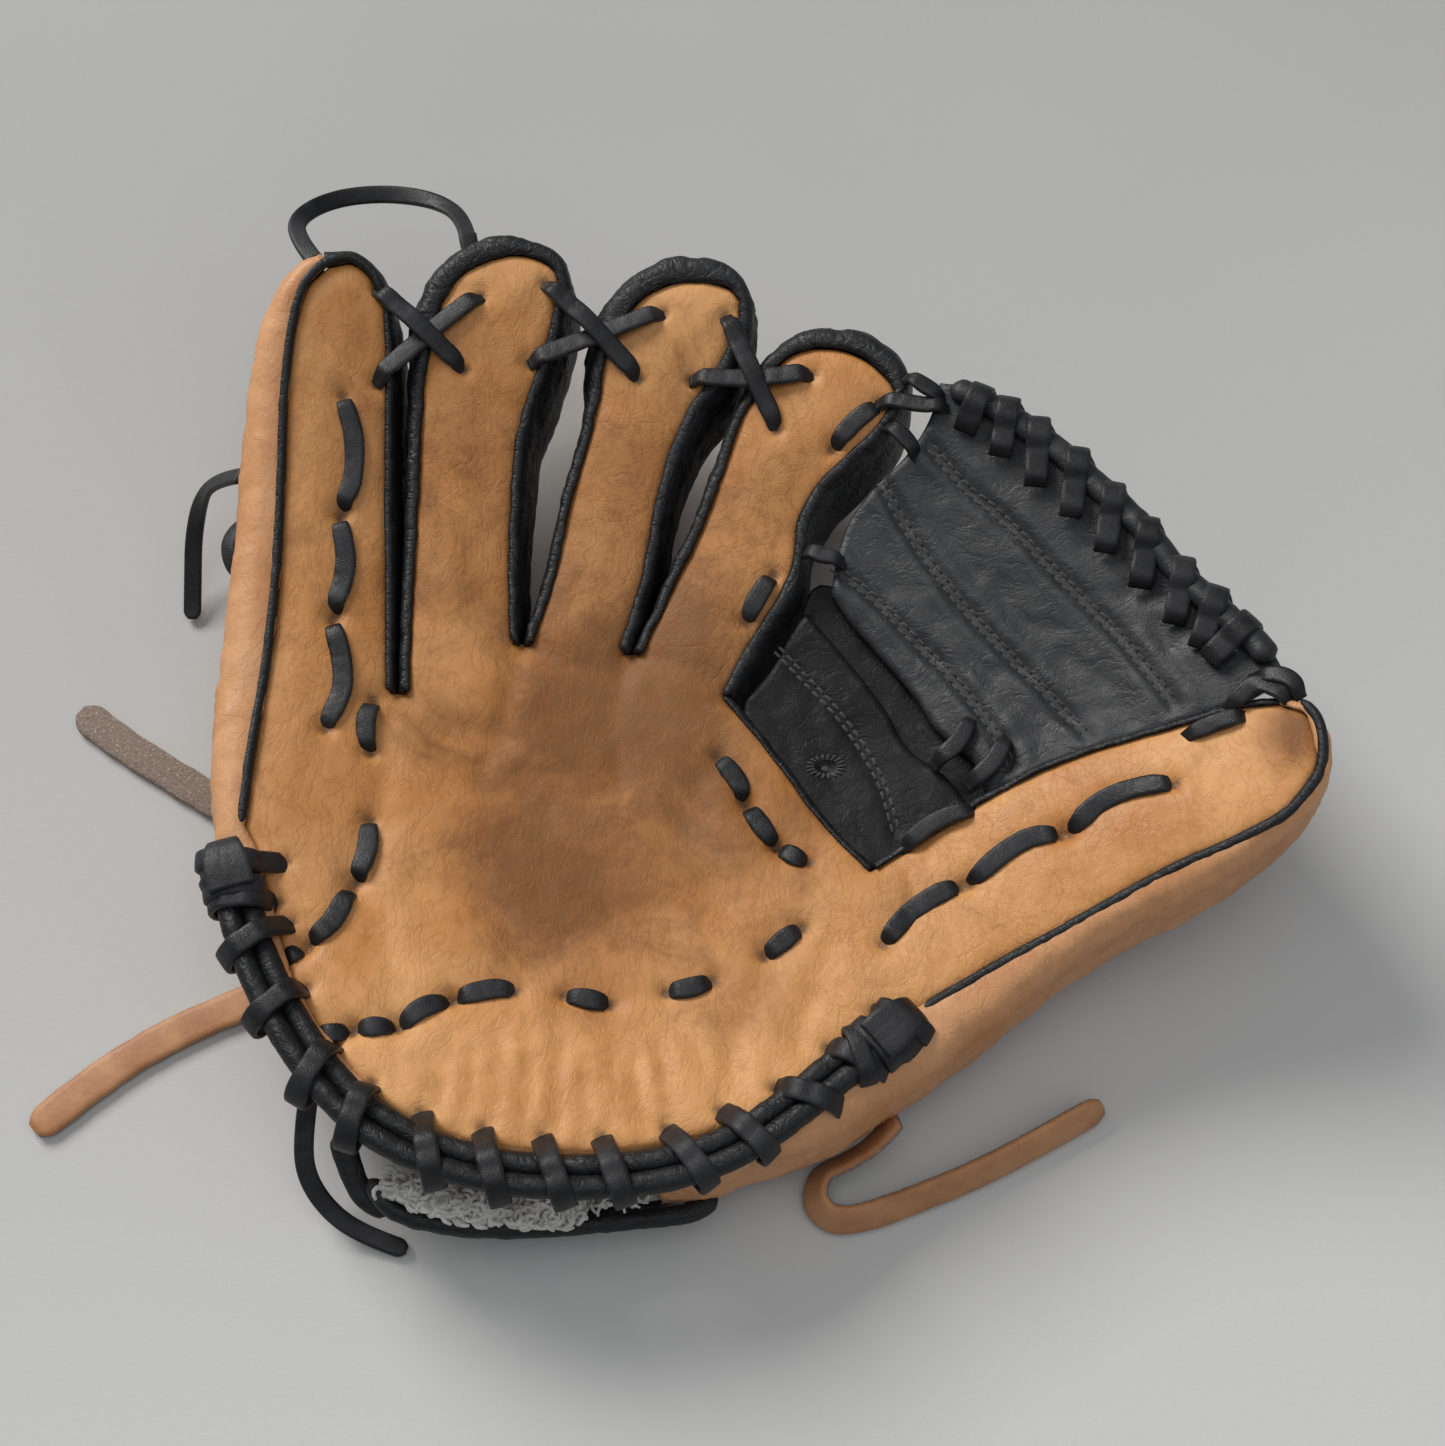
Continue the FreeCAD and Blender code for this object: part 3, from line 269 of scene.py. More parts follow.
def thong_finish(name):
    """Tan latigo, smooth on its grain side and rough suede on the other."""
    f = Finish(name, Specular_IOR_Level=0.45)
    place = f.kept("place", "Vector")
    fine = f.mottle(place, 500.0, 8.0, 0.75)
    broad = f.mottle(place, 60.0, 4.0, 0.6)
    lint = f.band(f.mottle(place, 1300.0, 4.0, 0.8), 0.42, 0.66)
    suede = f.band(f.kept("suede") + (fine - 0.5) * 0.25, 0.35, 0.6)
    grain = f.mix((0.36, 0.155, 0.06, 1), (0.5, 0.25, 0.11, 1), f.band(broad, 0.35, 0.68))
    rough = f.mix((0.33, 0.235, 0.185, 1), (0.72, 0.6, 0.52, 1), lint)
    rough = f.mix(rough, (0.12, 0.085, 0.065, 1), f.band(fine, 0.56, 0.7, 0.0, 0.5))
    f.bump(fine * (0.35 + suede * 1.6) + lint * suede, 0.0006, 0.9)
    return f.feed(Base_Color=f.mix(grain, rough, suede), Roughness=f.band(suede, 0.0, 1.0, 0.42, 0.95))


def plain_cloth(name, light, dark, scale, depth):
    """Felt, lining and fleece: matt fibre."""
    f = Finish(name, Specular_IOR_Level=0.2, Sheen_Weight=0.25)
    place = f.kept("place", "Vector")
    fibre = f.mottle(place, scale, 8.0, 0.8, 1.2)
    clump = f.mottle(place, scale / 7.0, 4.0, 0.6)
    f.bump(fibre + clump * 0.6, depth, 0.9)
    colour = f.mix(dark, light, f.band(fibre * 0.6 + clump * 0.5, 0.36, 0.68))
    return f.feed(Base_Color=colour, Roughness=f.band(fibre, 0.3, 0.7, 0.85, 1.0))


def floor_finish():
    f = Finish("pale_floor", Specular_IOR_Level=0.25)
    place = f.node("TexCoord", {}, {}, "Object")
    cloud = f.mottle(place, 2.2, 4.0, 0.6)
    speck = f.mottle(place, 900.0, 3.0, 0.7)
    f.bump(speck, 0.0002, 0.35)
    colour = f.mix((0.37, 0.37, 0.36, 1), (0.4, 0.4, 0.39, 1),
        f.band(cloud * 0.8 + speck * 0.2, 0.35, 0.65))
    # Painted light: the floor grows lighter towards the camera and to the right, a painted falloff of the
    # lamp light.
    painted_light_gradient = f.node("VectorMath", {"operation": "DOT_PRODUCT"}, {0: place, 1: (0.55, -1.5, 0.0)}, 1)
    colour = f.mix(colour, (0.66, 0.66, 0.645, 1), f.band(painted_light_gradient, -0.5, 0.6))
    return f.feed(Base_Color=colour, Roughness=f.band(speck, 0.3, 0.7, 0.75, 0.9))


TAN = tan_leather("oiled_tan_leather", (0.68, 0.345, 0.13, 1), (0.49, 0.205, 0.056, 1),
    (0.25, 0.09, 0.019, 1), (0.1, 0.038, 0.011, 1))
OUTER_TAN = tan_leather("rubbed_tan_leather", (0.64, 0.34, 0.165, 1), (0.46, 0.2, 0.075, 1),
    (0.27, 0.11, 0.04, 1), (0.19, 0.085, 0.04, 1))
BLACK = black_leather("black_wall_leather", (0.009, 0.0095, 0.0105, 1), (0.034, 0.035, 0.038, 1), 0.7, 0.36)
WEB_BLACK = black_leather("black_web_leather", (0.015, 0.016, 0.018, 1), (0.04, 0.042, 0.046, 1), 0.1, 0.42)
# Painted shade: a darker, less shiny copy of the web leather for the lower web and the backing under the
# web gap, which lie in the shadow of the index stall.
SHADED_WEB_BLACK = black_leather("black_web_leather_painted_shade", (0.0035, 0.0037, 0.004, 1),
    (0.012, 0.0125, 0.014, 1), 0.1, 0.2)
ROLL_BLACK = black_leather("black_roll_leather", (0.007, 0.0075, 0.0085, 1), (0.022, 0.023, 0.026, 1),
    0.4, 0.36)
LACE = lace_finish("black_rawhide")
THONG = thong_finish("tan_latigo")
THREAD = plain_cloth("waxed_thread", (0.07, 0.068, 0.063, 1), (0.028, 0.027, 0.026, 1), 2500.0, 0.0001)
FLEECE = plain_cloth("matted_fleece", (0.97, 0.96, 0.92, 1), (0.7, 0.69, 0.64, 1), 700.0, 0.0012)
FELT = plain_cloth("grey_felt", (0.5, 0.49, 0.46, 1), (0.3, 0.29, 0.27, 1), 900.0, 0.0006)
LINING = plain_cloth("soft_lining", (0.5, 0.34, 0.2, 1), (0.32, 0.2, 0.11, 1), 500.0, 0.0004)

floor_mesh = bpy.data.meshes.new("floor")
floor_mesh.from_pydata([(-6, -6, 0), (6, -6, 0), (6, 6, 0), (-6, 6, 0)], [], [(0, 1, 2, 3)])
floor = bpy.data.objects.new("floor", floor_mesh)
floor_mesh.materials.append(floor_finish())
scene.collection.objects.link(floor)
floor.location.z = -0.0004

# ---------------------------------------------------------------- shapes
BOWL_RADIUS, BOWL_MIDDLE = 330.0, 355.0  # sphere of the front leather
BACK_INSIDE, BACK_DEPTH = 23.4, 26.0  # depths of the back leather below the front
LACE_WIDTH, LACE_SKIN = 4.6, 1.6
THONG_WIDTH, THONG_SKIN = 8.6, 2.4
TAB_WIDTH = 8.0  # tabs that hold the strap


def bowl(plan, depth=0.0):
    """Height of a layer at plan points."""
    plan = np.asarray(plan, float)
    reach = BOWL_RADIUS + np.asarray(depth, float)
    return BOWL_MIDDLE - np.sqrt(reach ** 2 - plan[..., 0] ** 2 - plan[..., 1] ** 2)


def measured(line):
    """How far along a line each of its points is."""
    return np.concatenate([[0.0], np.cumsum(np.linalg.norm(np.diff(line, axis=0), axis=1))])


def divided(line, count):
    """The same line with count evenly spaced points."""
    far = measured(line)
    at = np.linspace(0.0, far[-1], count)
    return np.stack([np.interp(at, far, line[:, i]) for i in range(line.shape[1])], 1)


def smooth(points, step=1.2, count=None):
    """A smooth line through points, evenly divided."""
    p = np.asarray(points, float)
    if len(p) == 2:
        dense = p[0] + (p[1] - p[0]) * np.linspace(0, 1, 40)[:, None]
    else:
        held = np.vstack([2 * p[0] - p[1], p, 2 * p[-1] - p[-2]])
        dense = []
        for a, b, c, d in zip(held, held[1:], held[2:], held[3:]):
            t1 = max(np.linalg.norm(b - a), 1e-6) ** 0.5
            t2 = t1 + max(np.linalg.norm(c - b), 1e-6) ** 0.5
            t3 = t2 + max(np.linalg.norm(d - c), 1e-6) ** 0.5
            t = np.linspace(t1, t2, 24, endpoint=False)[:, None]
            ab = a + (b - a) * t / t1
            bc = b + (c - b) * (t - t1) / (t2 - t1)
            cd = c + (d - c) * (t - t2) / (t3 - t2)
            abc, bcd = ab + (bc - ab) * t / t2, bc + (cd - bc) * (t - t1) / (t3 - t1)
            dense.append(abc + (bcd - abc) * (t - t1) / (t2 - t1))
        dense = np.vstack(dense + [p[-1:]])
    return divided(dense, count or max(4, int(measured(dense)[-1] / step) + 1))


def gap(points, line):
    """Distance from each point to a line."""
    points, found = np.asarray(points, float), []
    ab = line[1:] - line[:-1]
    size = np.maximum((ab ** 2).sum(1), 1e-12)
    for start in range(0, len(points), 1500):
        p = points[start:start + 1500, None, :]
        t = np.clip(((p - line[None, :-1]) * ab).sum(-1) / size, 0, 1)
        found.append(np.linalg.norm(p - line[None, :-1] - t[..., None] * ab, axis=-1).min(1))
    return np.concatenate(found)


def eased(x):
    """0 to 1, slow at both ends."""
    x = np.clip(x, 0.0, 1.0)
    return x * x * (3 - 2 * x)


def within(points, loop):
    """Which points lie inside a closed loop."""
    inside = np.zeros(len(points), bool)
    x, y = points[:, 0], points[:, 1]
    for (x0, y0), (x1, y1) in zip(loop, np.roll(loop, -1, 0)):
        if y0 != y1:
            cross = (y0 > y) != (y1 > y)
            inside ^= cross & (x < (x1 - x0) * (y - y0) / (y1 - y0) + x0)
    return inside


def joined(*stretches, step=1.2):
    """One closed outline from stretches, each smooth, each from where the last one ended."""
    parts = [smooth(s, step)[:-1] if len(s) > 2 or math.dist(*s) > step else np.asarray(s[:1], float)
             for s in stretches]
    return np.vstack(parts)


def straight_sided(corners, step):
    """A closed outline with straight sides between its corners."""
    return joined(*[[a, b] for a, b in zip(corners, corners[1:] + corners[:1])], step=step)


def cut_sheet(loop, pitch, rings=(0.6, 1.4, 2.4)):
    """Plan points and triangles of a sheet cut to a closed outline."""
    area = 0.5 * np.sum(loop[:, 0] * np.roll(loop[:, 1], -1) - loop[:, 1] * np.roll(loop[:, 0], -1))
    ahead = np.roll(loop, -1, 0) - np.roll(loop, 1, 0)
    inward = np.stack([-ahead[:, 1], ahead[:, 0]], 1) * np.sign(area)
    inward /= np.linalg.norm(inward, axis=1, keepdims=True)
    closed = np.vstack([loop, loop[:1]])
    places = [loop]
    for ring in rings:
        moved = loop + inward * ring
        places.append(moved[(gap(moved, closed) > ring * 0.93) & within(moved, loop)])
    low, high = loop.min(0), loop.max(0)
    xs, ys = np.arange(low[0], high[0], pitch), np.arange(low[1], high[1], pitch * 0.866)
    grid = np.stack(np.meshgrid(xs, ys), -1)
    grid[1::2, :, 0] += pitch / 2
    grid = grid.reshape(-1, 2)
    grid = grid[within(grid, loop)]
    places.append(grid[gap(grid, closed) > (rings[-1] if rings else 0.0) + pitch * 0.6])
    every = np.vstack(places)
    n = len(loop)
    made = delaunay_2d_cdt([Vector(p) for p in every.tolist()], [(i, (i + 1) % n) for i in range(n)],
        [], 1, 1e-5)
    return np.array([tuple(v) for v in made[0]]), [tuple(t) for t in made[2]]


def grown(points, scale, seed=0.0, octaves=3):
    """Soft random height, -1 to 1, at points."""
    return np.array([noise.fractal(Vector((p[0] * scale, p[1] * scale,
        (p[2] if len(p) > 2 else 0) * scale + seed)), 0.9, 2.1,
        octaves) for p in np.asarray(points).tolist()])


PINKY_BLEND = ("palm", "pinky", (-0.0635, 0.0, 0.035), (-0.0835, 0.0, 0.035))
THUMB_OUT = np.array([0.92838, -0.37163])  # across the thumb's fold, in plan
THUMB_AT = np.array([51.0, -11.0])
THUMB_START, THUMB_END = -12.0, 16.0  # span this far each side of the fold, given with the thumb's body; its start is where the thumb's side begins
thumb_from, thumb_to = THUMB_AT + THUMB_OUT * THUMB_START, THUMB_AT + THUMB_OUT * THUMB_END
THUMB_BLEND = ("palm", "thumb", (*(thumb_from * MM), 0.03), (*(thumb_to * MM), 0.03))
PINKY_LINE = -63.5


def past_thumb_line(plan):
    """Which points belong to the thumb's side of its fold."""
    return (np.asarray(plan)[..., :2] - thumb_from) @ THUMB_OUT > 0


class Piece:
    """Points and faces gathered for one piece, with values kept at each point."""

    def __init__(self):
        self.points, self.faces, self.values = [], [], {}

    def add(self, points, faces, **values):
        start = sum(len(p) for p in self.points)
        points = np.asarray(points, float)
        self.points.append(points)
        self.faces += [tuple(i + start for i in face) for face in faces]
        for name in values:
            self.values.setdefault(name, [np.zeros(start)] if start else [])
        for name, kept in self.values.items():
            kept.append(np.broadcast_to(np.asarray(values.get(name, 0.0), float), (len(points),)))
        return self

    def make(self, name, finish, body, stands_for=(), slot=None, outward=True, thick=None):
        """The finished piece, riding on a body; one given two bodies is left unparented."""
        points = np.vstack(self.points)
        mesh = bpy.data.meshes.new(name)
        mesh.from_pydata((points * MM).tolist(), [], self.faces)
        if outward:
            work = bmesh.new()
            work.from_mesh(mesh)
            bmesh.ops.recalc_face_normals(work, faces=work.faces)
            work.to_mesh(mesh)
            work.free()
        mesh.shade_smooth()
        place = mesh.attributes.new("place", "FLOAT_VECTOR", "POINT")
        place.data.foreach_set("vector", (points * MM).astype(np.float32).ravel())
        for key, kept in self.values.items():
            mesh.attributes.new(key, "FLOAT", "POINT").data.foreach_set(
                "value", np.concatenate(kept).astype(np.float32))
        mesh.materials.append(finish)
        made = bpy.data.objects.new(name, mesh)
        scene.collection.objects.link(made)
        if thick:
            skin = made.modifiers.new("skin", "SOLIDIFY")
            skin.thickness, skin.offset = thick * MM, 0.0
        if isinstance(body, str):
            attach(made, body)
        else:
            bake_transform(made)
        if stands_for:
            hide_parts(*stands_for)
        return made


LACE_SECTION = [(-1, 0), (-0.98, 0.55), (-0.87, 0.9), (-0.6, 1.0), (0, 1.05), (0.6, 1.0), (0.87, 0.9),
    (0.98, 0.55), (1, 0), (0.98, -0.55), (0.87, -0.93), (0, -1.0), (-0.87, -0.93), (-0.98, -0.55)]


def ribbon(path, up, width, skin, closed=False):
    """A flat lace with rounded edges: points, faces, and how near each point is to an edge."""
    path = np.asarray(path, float)
    n, m = len(path), len(LACE_SECTION)
    if closed:
        along = np.roll(path, -1, 0) - np.roll(path, 1, 0)
    else:
        along = np.gradient(path, axis=0)
    along /= np.maximum(np.linalg.norm(along, axis=1, keepdims=True), 1e-9)
    up = np.broadcast_to(np.asarray(up, float), path.shape)
    across = np.cross(along, up)
    across /= np.maximum(np.linalg.norm(across, axis=1, keepdims=True), 1e-9)
    over = np.cross(across, along)
    section = np.array(LACE_SECTION)
    width = np.broadcast_to(np.asarray(width, float), (n,))[:, None, None]
    skin = np.broadcast_to(np.asarray(skin, float), (n,))[:, None, None]
    points = (path[:, None] + across[:, None] * section[None, :, :1] * width / 2
              + over[:, None] * section[None, :, 1:] * skin / 2).reshape(-1, 3)
    faces = [(i * m + j, i * m + (j + 1) % m, (i + 1) % n * m + (j + 1) % m, (i + 1) % n * m + j)
             for i in range(n if closed else n - 1) for j in range(m)]
    if not closed:
        faces += [tuple(range(m))[::-1], tuple((n - 1) * m + j for j in range(m))]
    rim = np.tile(np.abs(section[:, 0]) ** 6, n)
    side = np.tile((section[:, 1] < -0.3).astype(float), n)
    return points, faces, rim, side


def tube(path, radius, sides=12, flat=1.0):
    """A round cord of leather along a path, with closed, rounded ends."""
    path = np.asarray(path, float)
    along = np.gradient(path, axis=0)
    along /= np.linalg.norm(along, axis=1, keepdims=True)
    side = np.cross(along, (0, 0, 1.0))
    side /= np.maximum(np.linalg.norm(side, axis=1, keepdims=True), 1e-9)
    over = np.cross(side, along)
    turn = np.linspace(0, 2 * math.pi, sides, endpoint=False)
    radius = np.broadcast_to(np.asarray(radius, float), (len(path),))[:, None, None]
    points = (path[:, None] + radius * (side[:, None] * np.cos(turn)[None, :, None]
              + over[:, None] * np.sin(turn)[None, :, None] * flat)).reshape(-1, 3)
    n = len(path)
    faces = [(i * sides + j, i * sides + (j + 1) % sides, (i + 1) * sides + (j + 1) % sides,
              (i + 1) * sides + j) for i in range(n - 1) for j in range(sides)]
    faces += [tuple(range(sides))[::-1], tuple((n - 1) * sides + j for j in range(sides))]
    return points, faces


def rounded(count, radius, ends=3):
    """Radii along a tube whose ends close to a dome."""
    made = np.full(count, float(radius))
    for i in range(ends):
        made[i] = made[-1 - i] = radius * math.sin((i + 0.35) / ends * math.pi / 2)
    return made


# ---------------------------------------------------------------- outlines, as in the frame
RING = ([(-63, 34), (-63, 57), (-62.3, 82), (-61.5, 107), (-60, 119), (-57, 131)],
        [(-57, 131), (-52, 138), (-43, 143), (-34, 144), (-27, 141), (-25.5, 137)],
        [(-25.5, 137), (-28, 126), (-31, 116), (-35, 104), (-36.8, 90), (-37.5, 72), (-36.5, 49)])
MIDDLE = ([(-33, 49), (-28, 67), (-24, 85), (-20, 100), (-17, 112), (-15, 122), (-11, 130)],
          [(-11, 130), (-5, 136), (3, 139), (11, 139), (18, 137), (20.5, 134)],
          [(20.5, 134), (20, 128), (15, 118), (8.5, 109), (3.5, 99), (0, 87), (-2.5, 74),
           (-5.5, 60), (-9.5, 47)])
INDEX = ([(-6, 47), (2.5, 65), (9.5, 80), (14.5, 93), (19, 105), (23, 112), (27, 117)],
         [(27, 117), (32, 121), (39, 122.5), (47, 121), (55, 116), (59.5, 110), (59, 106)],
         [(59, 106), (55.5, 101), (51, 97), (45, 92), (39, 86), (35, 78), (34, 69), (32, 63),
          (27, 55), (21, 45), (16, 35)])
RING_OUT = ([(-64.3, 34), (-64.5, 57), (-64.3, 85), (-64.2, 110), (-64, 127)],
            [(-64, 127), (-60, 136), (-53, 144), (-43, 148.5), (-33, 148), (-26, 144), (-23.5, 138)],
            [(-23.5, 138), (-26, 126), (-29.5, 115), (-33.5, 104), (-35.3, 90), (-36, 72), (-36, 48)])
MIDDLE_OUT = ([(-34.5, 48), (-29.5, 67), (-25.7, 85), (-21.8, 100), (-19.5, 112), (-19.5, 124)],
    [(-19.5, 124), (-16, 133), (-8, 141), (2, 145.5), (13, 145), (20, 140.5), (23, 134)],
    [(23, 134), (22, 126), (17, 116), (10.2, 108), (5.2, 98), (1.7, 87), (-0.8, 74), (-4, 60),
    (-8.7, 47)])
INDEX_OUT = ([(-6.8, 47), (1, 66), (8, 81), (13, 94), (17, 105), (20.5, 113)],
             [(20.5, 113), (26, 120.5), (33, 126), (41, 127.5), (50, 126.5), (58, 121.5), (63, 114)],
             [(63, 114), (61.5, 107), (57, 100.5), (50, 94), (43, 87.5), (37.5, 78), (36, 69),
              (34, 61.5), (29, 54), (23.5, 45), (17.5, 35.5)])
WEB_EDGE = [(16, 35), (21, 29), (29, 18), (39, 3), (50.6, -11)]
HEEL_EDGE = [(-66, -67), (-57, -73), (-44, -78.5), (-28, -81), (-10, -81), (8, -78), (27, -72)]
PINKY_SLIT = [(-66.3, 34), (-67.3, 60), (-68.3, 90), (-68.5, 118), (-69, 128)]
PINKY_TIP = [(-69, 128), (-72, 135), (-78, 139), (-86, 139), (-92, 136)]
PINKY_SIDE = [(-92, 136), (-98, 127), (-102, 113), (-104, 90), (-105.5, 60), (-107, 35), (-107, 10),
              (-104, -8)]
PINKY_UNDER = [(-104, -8), (-98, -23), (-92, -38), (-84.5, -52), (-76, -65), (-66, -74)]
PINKY_WELT = [(-84, 136.3), (-89, 131), (-92, 122), (-94, 103), (-94.3, 80), (-94.8, 55), (-96, 35),
              (-98, 12), (-98.5, -5)]
PINKY_HEEL = [(-96, -9), (-93, -18), (-89, -30), (-85, -41), (-78, -53), (-71, -62)]
WEB_SIDE = [(51.6, -10.6), (59, -6), (70, 0), (78, 5), (91, 11), (105, 15), (123, 18), (136, 20),
            (146, 19.5)]
THUMB_TIP = [(146, 19.5), (151.5, 16.5), (154.7, 10), (154.5, 3), (151, -5)]
THUMB_SIDE = [(151, -5), (138, -15.5), (124, -23), (111, -28.5), (97, -36), (85, -45), (73, -54),
              (62, -62)]
THUMB_UNDER = [(62, -62), (51, -69), (39, -76.5), (23, -82)]
THUMB_WELT = [(148.5, -4), (144, -8.5), (133, -13.5), (120, -18), (107, -24), (93, -31), (79, -38),
              (68, -44), (61, -48)]
THUMB_HEEL = [(57, -47.5), (51, -50), (43, -57), (34, -65)]
STALLS = {"ring": (RING, RING_OUT), "middle": (MIDDLE, MIDDLE_OUT), "index": (INDEX, INDEX_OUT)}

FRONT = joined(PINKY_SLIT, [(-69, 128), (-72, 134.5), (-77.5, 138), (-84, 136.3)], PINKY_WELT,
    [(-98.5, -5), (-96, -9)], PINKY_HEEL, [(-71, -62), (-66, -67)], HEEL_EDGE, [(27, -72), (34, -65)],
    THUMB_HEEL[::-1], [(57, -47.5), (61, -48)], THUMB_WELT[::-1],
    [(148.5, -4), (152, 2), (152.3, 9.5), (150.5, 16), (146, 19.5)], WEB_SIDE[::-1],
    [(51.6, -10.6), (50.6, -11)], WEB_EDGE[::-1], [(16, 35), (15.9, 35.1)],
    *[s[::-1] for s in INDEX[::-1]], [(-6, 47), (-9.5, 47)], *[s[::-1] for s in MIDDLE[::-1]],
    [(-33, 49), (-36.5, 49)], *[s[::-1] for s in RING[::-1]], [(-63, 34), (-66.3, 34)])
FRONT_RIM = np.vstack([FRONT, FRONT[:1]])

PINKY_LACE = [[(-80, 106), (-77, 96), (-77, 86), (-79.5, 78)], [(-80, 76), (-78, 64), (-80.5, 52)],
              [(-81, 50), (-78, 40), (-77.5, 32), (-81, 22)], [(-70.5, 31), (-71.5, 24), (-70.5, 17)],
              [(-69.5, 0), (-69.5, -8), (-71.5, -16)], [(-72.5, -18), (-76, -27), (-81, -32.5)],
              [(-82, -34), (-87, -37)]]
THUMB_LACE = [[(53, -31), (59, -24), (66, -19.5), (71.5, -17.5)],
    [(73.5, -17), (82, -10), (88, -7), (95, -6.5)], [(97, -6), (104, 0), (112, 2.5), (121, 2.5)]]
PALM_LACE = [[(14, 19), (19.5, 11), (20, 7.5)], [(21, 6), (25.5, -1), (28, -4)],
    [(28.5, -5), (33, -8), (36, -9)], [(-59, -52), (-54, -47.5), (-48, -45)],
    [(-47, -44.5), (-38, -42), (-33, -42)], [(-22, -43), (-16.5, -44), (-11, -45)],
    [(2, -42), (8, -41), (13, -39)], [(25, -33), (30, -29), (34, -26)], [(21, 54), (24, 60), (28, 66)],
    [(43, 97), (49, 103), (55, 107)]]
HEEL_CHAIN = [[(-83.5, -56), (-77, -55), (-70, -53.5)], [(-69, -53), (-64, -52.5), (-60, -52)]]

# Soft folds worked into the leather by use: line, depth, half width
FOLDS = [([(-64, 33), (-54, 26), (-39, 23)], 1.0, 3.5), ([(-35, 48), (-25, 43), (-10, 41)], 0.9, 3.0),
         ([(-9, 46), (10, 41), (18, 36)], 1.0, 3.2), ([(-30, -35), (-14, -24), (10, -19)], 0.9, 5.0),
         ([(59.7, -13), (60.7, -20), (58, -27)], 0.9, 1.6), ([(10, 13), (7, -3), (15, -19)], 0.9, 4.5),
         ([(-57, -15), (-42, -20), (-33, -29)], 0.8, 4.0), ([(-66, 28), (-67, 8), (-68, -20)], 1.2, 4.0),
         ([(-66, -22), (-62, -38), (-60, -50)], 0.7, 3.5), ([(27, -35), (20, -50), (16, -66)], 0.9, 4.0),
         ([(40, -32), (36, -44), (33, -56)], 0.8, 3.5), ([(-36, 46), (-38, 30), (-44, 12)], 0.7, 3.0),
         ([(-8, 45), (-12, 30), (-10, 12)], 0.7, 3.0)]
PUCKERS = [((-58.7, -53.3), (-58.8, -67)), ((-47.5, -52.7), (-48.6, -72)), ((-36, -54.7), (-37.3, -76)),
    ((-22.2, -56.8), (-22.6, -78)), ((-10.8, -54.2), (-9.1, -78)), ((0.7, -54.1), (4.4, -76)),
    ((14.6, -51.7), (20.3, -70)), ((28.5, -47), (36.4, -60)), ((-71.2, -36.6), (-83, -42)),
    ((-41.5, -58), (-43, -76)), ((-29, -60), (-29.8, -78)), ((-16, -60), (-15.8, -79)),
    ((-5, -58), (-2.5, -77))]
STAINS = [((-15, 14, 42), 0.42), ((-14, 92, 26), 0.42), ((-48, 92, 24), 0.45), ((22, 90, 24), 0.42),
    ((-82, 40, 22), 0.34), ((-82, 90, 22), 0.34), ((-84, 0, 20), 0.34), ((14, -12, 26), 0.42),
    ((-5, 38, 15), 0.75), ((14, 46, 12), 0.6), ((-25, 30, 11), 0.55), ((-38, 57, 9), 0.6),
    ((-29, 66, 6), 0.5), ((-29, -12, 14), 0.75), ((-40, -4, 10), 0.55), ((-17, -18, 11), 0.55),
    ((-31, 20, 11), 0.7), ((0, 22, 16), 0.55), ((-5, 57, 9), 0.45), ((9, 58, 9), 0.45),
    ((149, 9, 6), 1.0), ((145, 12, 5), 0.6), ((-56, 24, 9), 0.5), ((-64, 60, 5), 0.55),
    ((20, -46, 8), 0.3), ((56, -17, 8), 0.4), ((36, 2, 9), 0.5), ((-23, 44, 10), 0.55),
    ((-34, -32, 12), 0.35), ((12, 8, 14), 0.45), ((-62, 84, 4), 0.35), ((-14, -44, 8), 0.35)]
lace_lines = [smooth(l, 1.5) for l in PINKY_LACE + THUMB_LACE + PALM_LACE + HEEL_CHAIN]
X_ENDS = [(-46, 133), (-72, 110), (-72, 132), (-50, 115), (-34, 118), (0, 131), (-30, 137), (-6, 115),
    (7, 115), (38, 115), (16, 130), (29, 102), (58.5, 103), (57, 99), (37, 71)]
TURN_HOLES = [(-87.7, -12.7), (-89, -23), (-85.3, -27.7), (-80.6, -43.6), (-72.8, -56.6), (-64.2, -66),
              (-52.6, -72.5), (-39.1, -76), (-25.7, -77.5), (-12.3, -77.5), (2.2, -75.5), (14.6, -71),
              (27, -66), (39, -56.5), (50.3, -47.8)]
HOLES = np.array([l[0] for l in lace_lines] + [l[-1] for l in lace_lines] + X_ENDS + TURN_HOLES)


def near(points, place, radius):
    """1 at a place, fading to 0 past the radius."""
    return np.exp(-((np.linalg.norm(np.asarray(points)[:, :2] - np.asarray(place), axis=1) / radius) ** 2))


def front_height(plan):
    """The worked surface of the front leather."""
    plan = np.asarray(plan, float)
    inside = gap(plan, FRONT_RIM)
    height = bowl(plan) + 1.9 * (1 - np.exp(-((inside / 7.5) ** 1.4))) - 0.7
    lip = np.clip(3.2 - inside, 0, 3.2)
    height -= 0.85 * (3.2 - np.sqrt(3.2 ** 2 - lip ** 2))
    for line, depth, half in FOLDS:
        height -= depth * np.exp(-((gap(plan, smooth(line, 3.0)) / half) ** 2))
    for start, end in PUCKERS:
        height -= 0.65 * np.exp(-((gap(plan, np.array([start, end], float)) / 2.4) ** 2)) * np.clip(
            (-46 - plan[:, 1]) / 14, 0, 1)
    for line in lace_lines:
        height -= 0.75 * np.exp(-((gap(plan, line) / 3.4) ** 2))
    for hole in HOLES:
        height -= 1.3 * near(plan, hole, 2.0)
    height += 0.55 * grown(plan, 0.045, 3.0) + 0.16 * grown(plan, 0.2, 9.0)
    lumps = np.clip((-38 - plan[:, 1]) / 20, 0, 1)
    height += lumps * 0.35 * grown(plan * np.array([1.0, 0.45]), 0.16, 5.0)
    return height


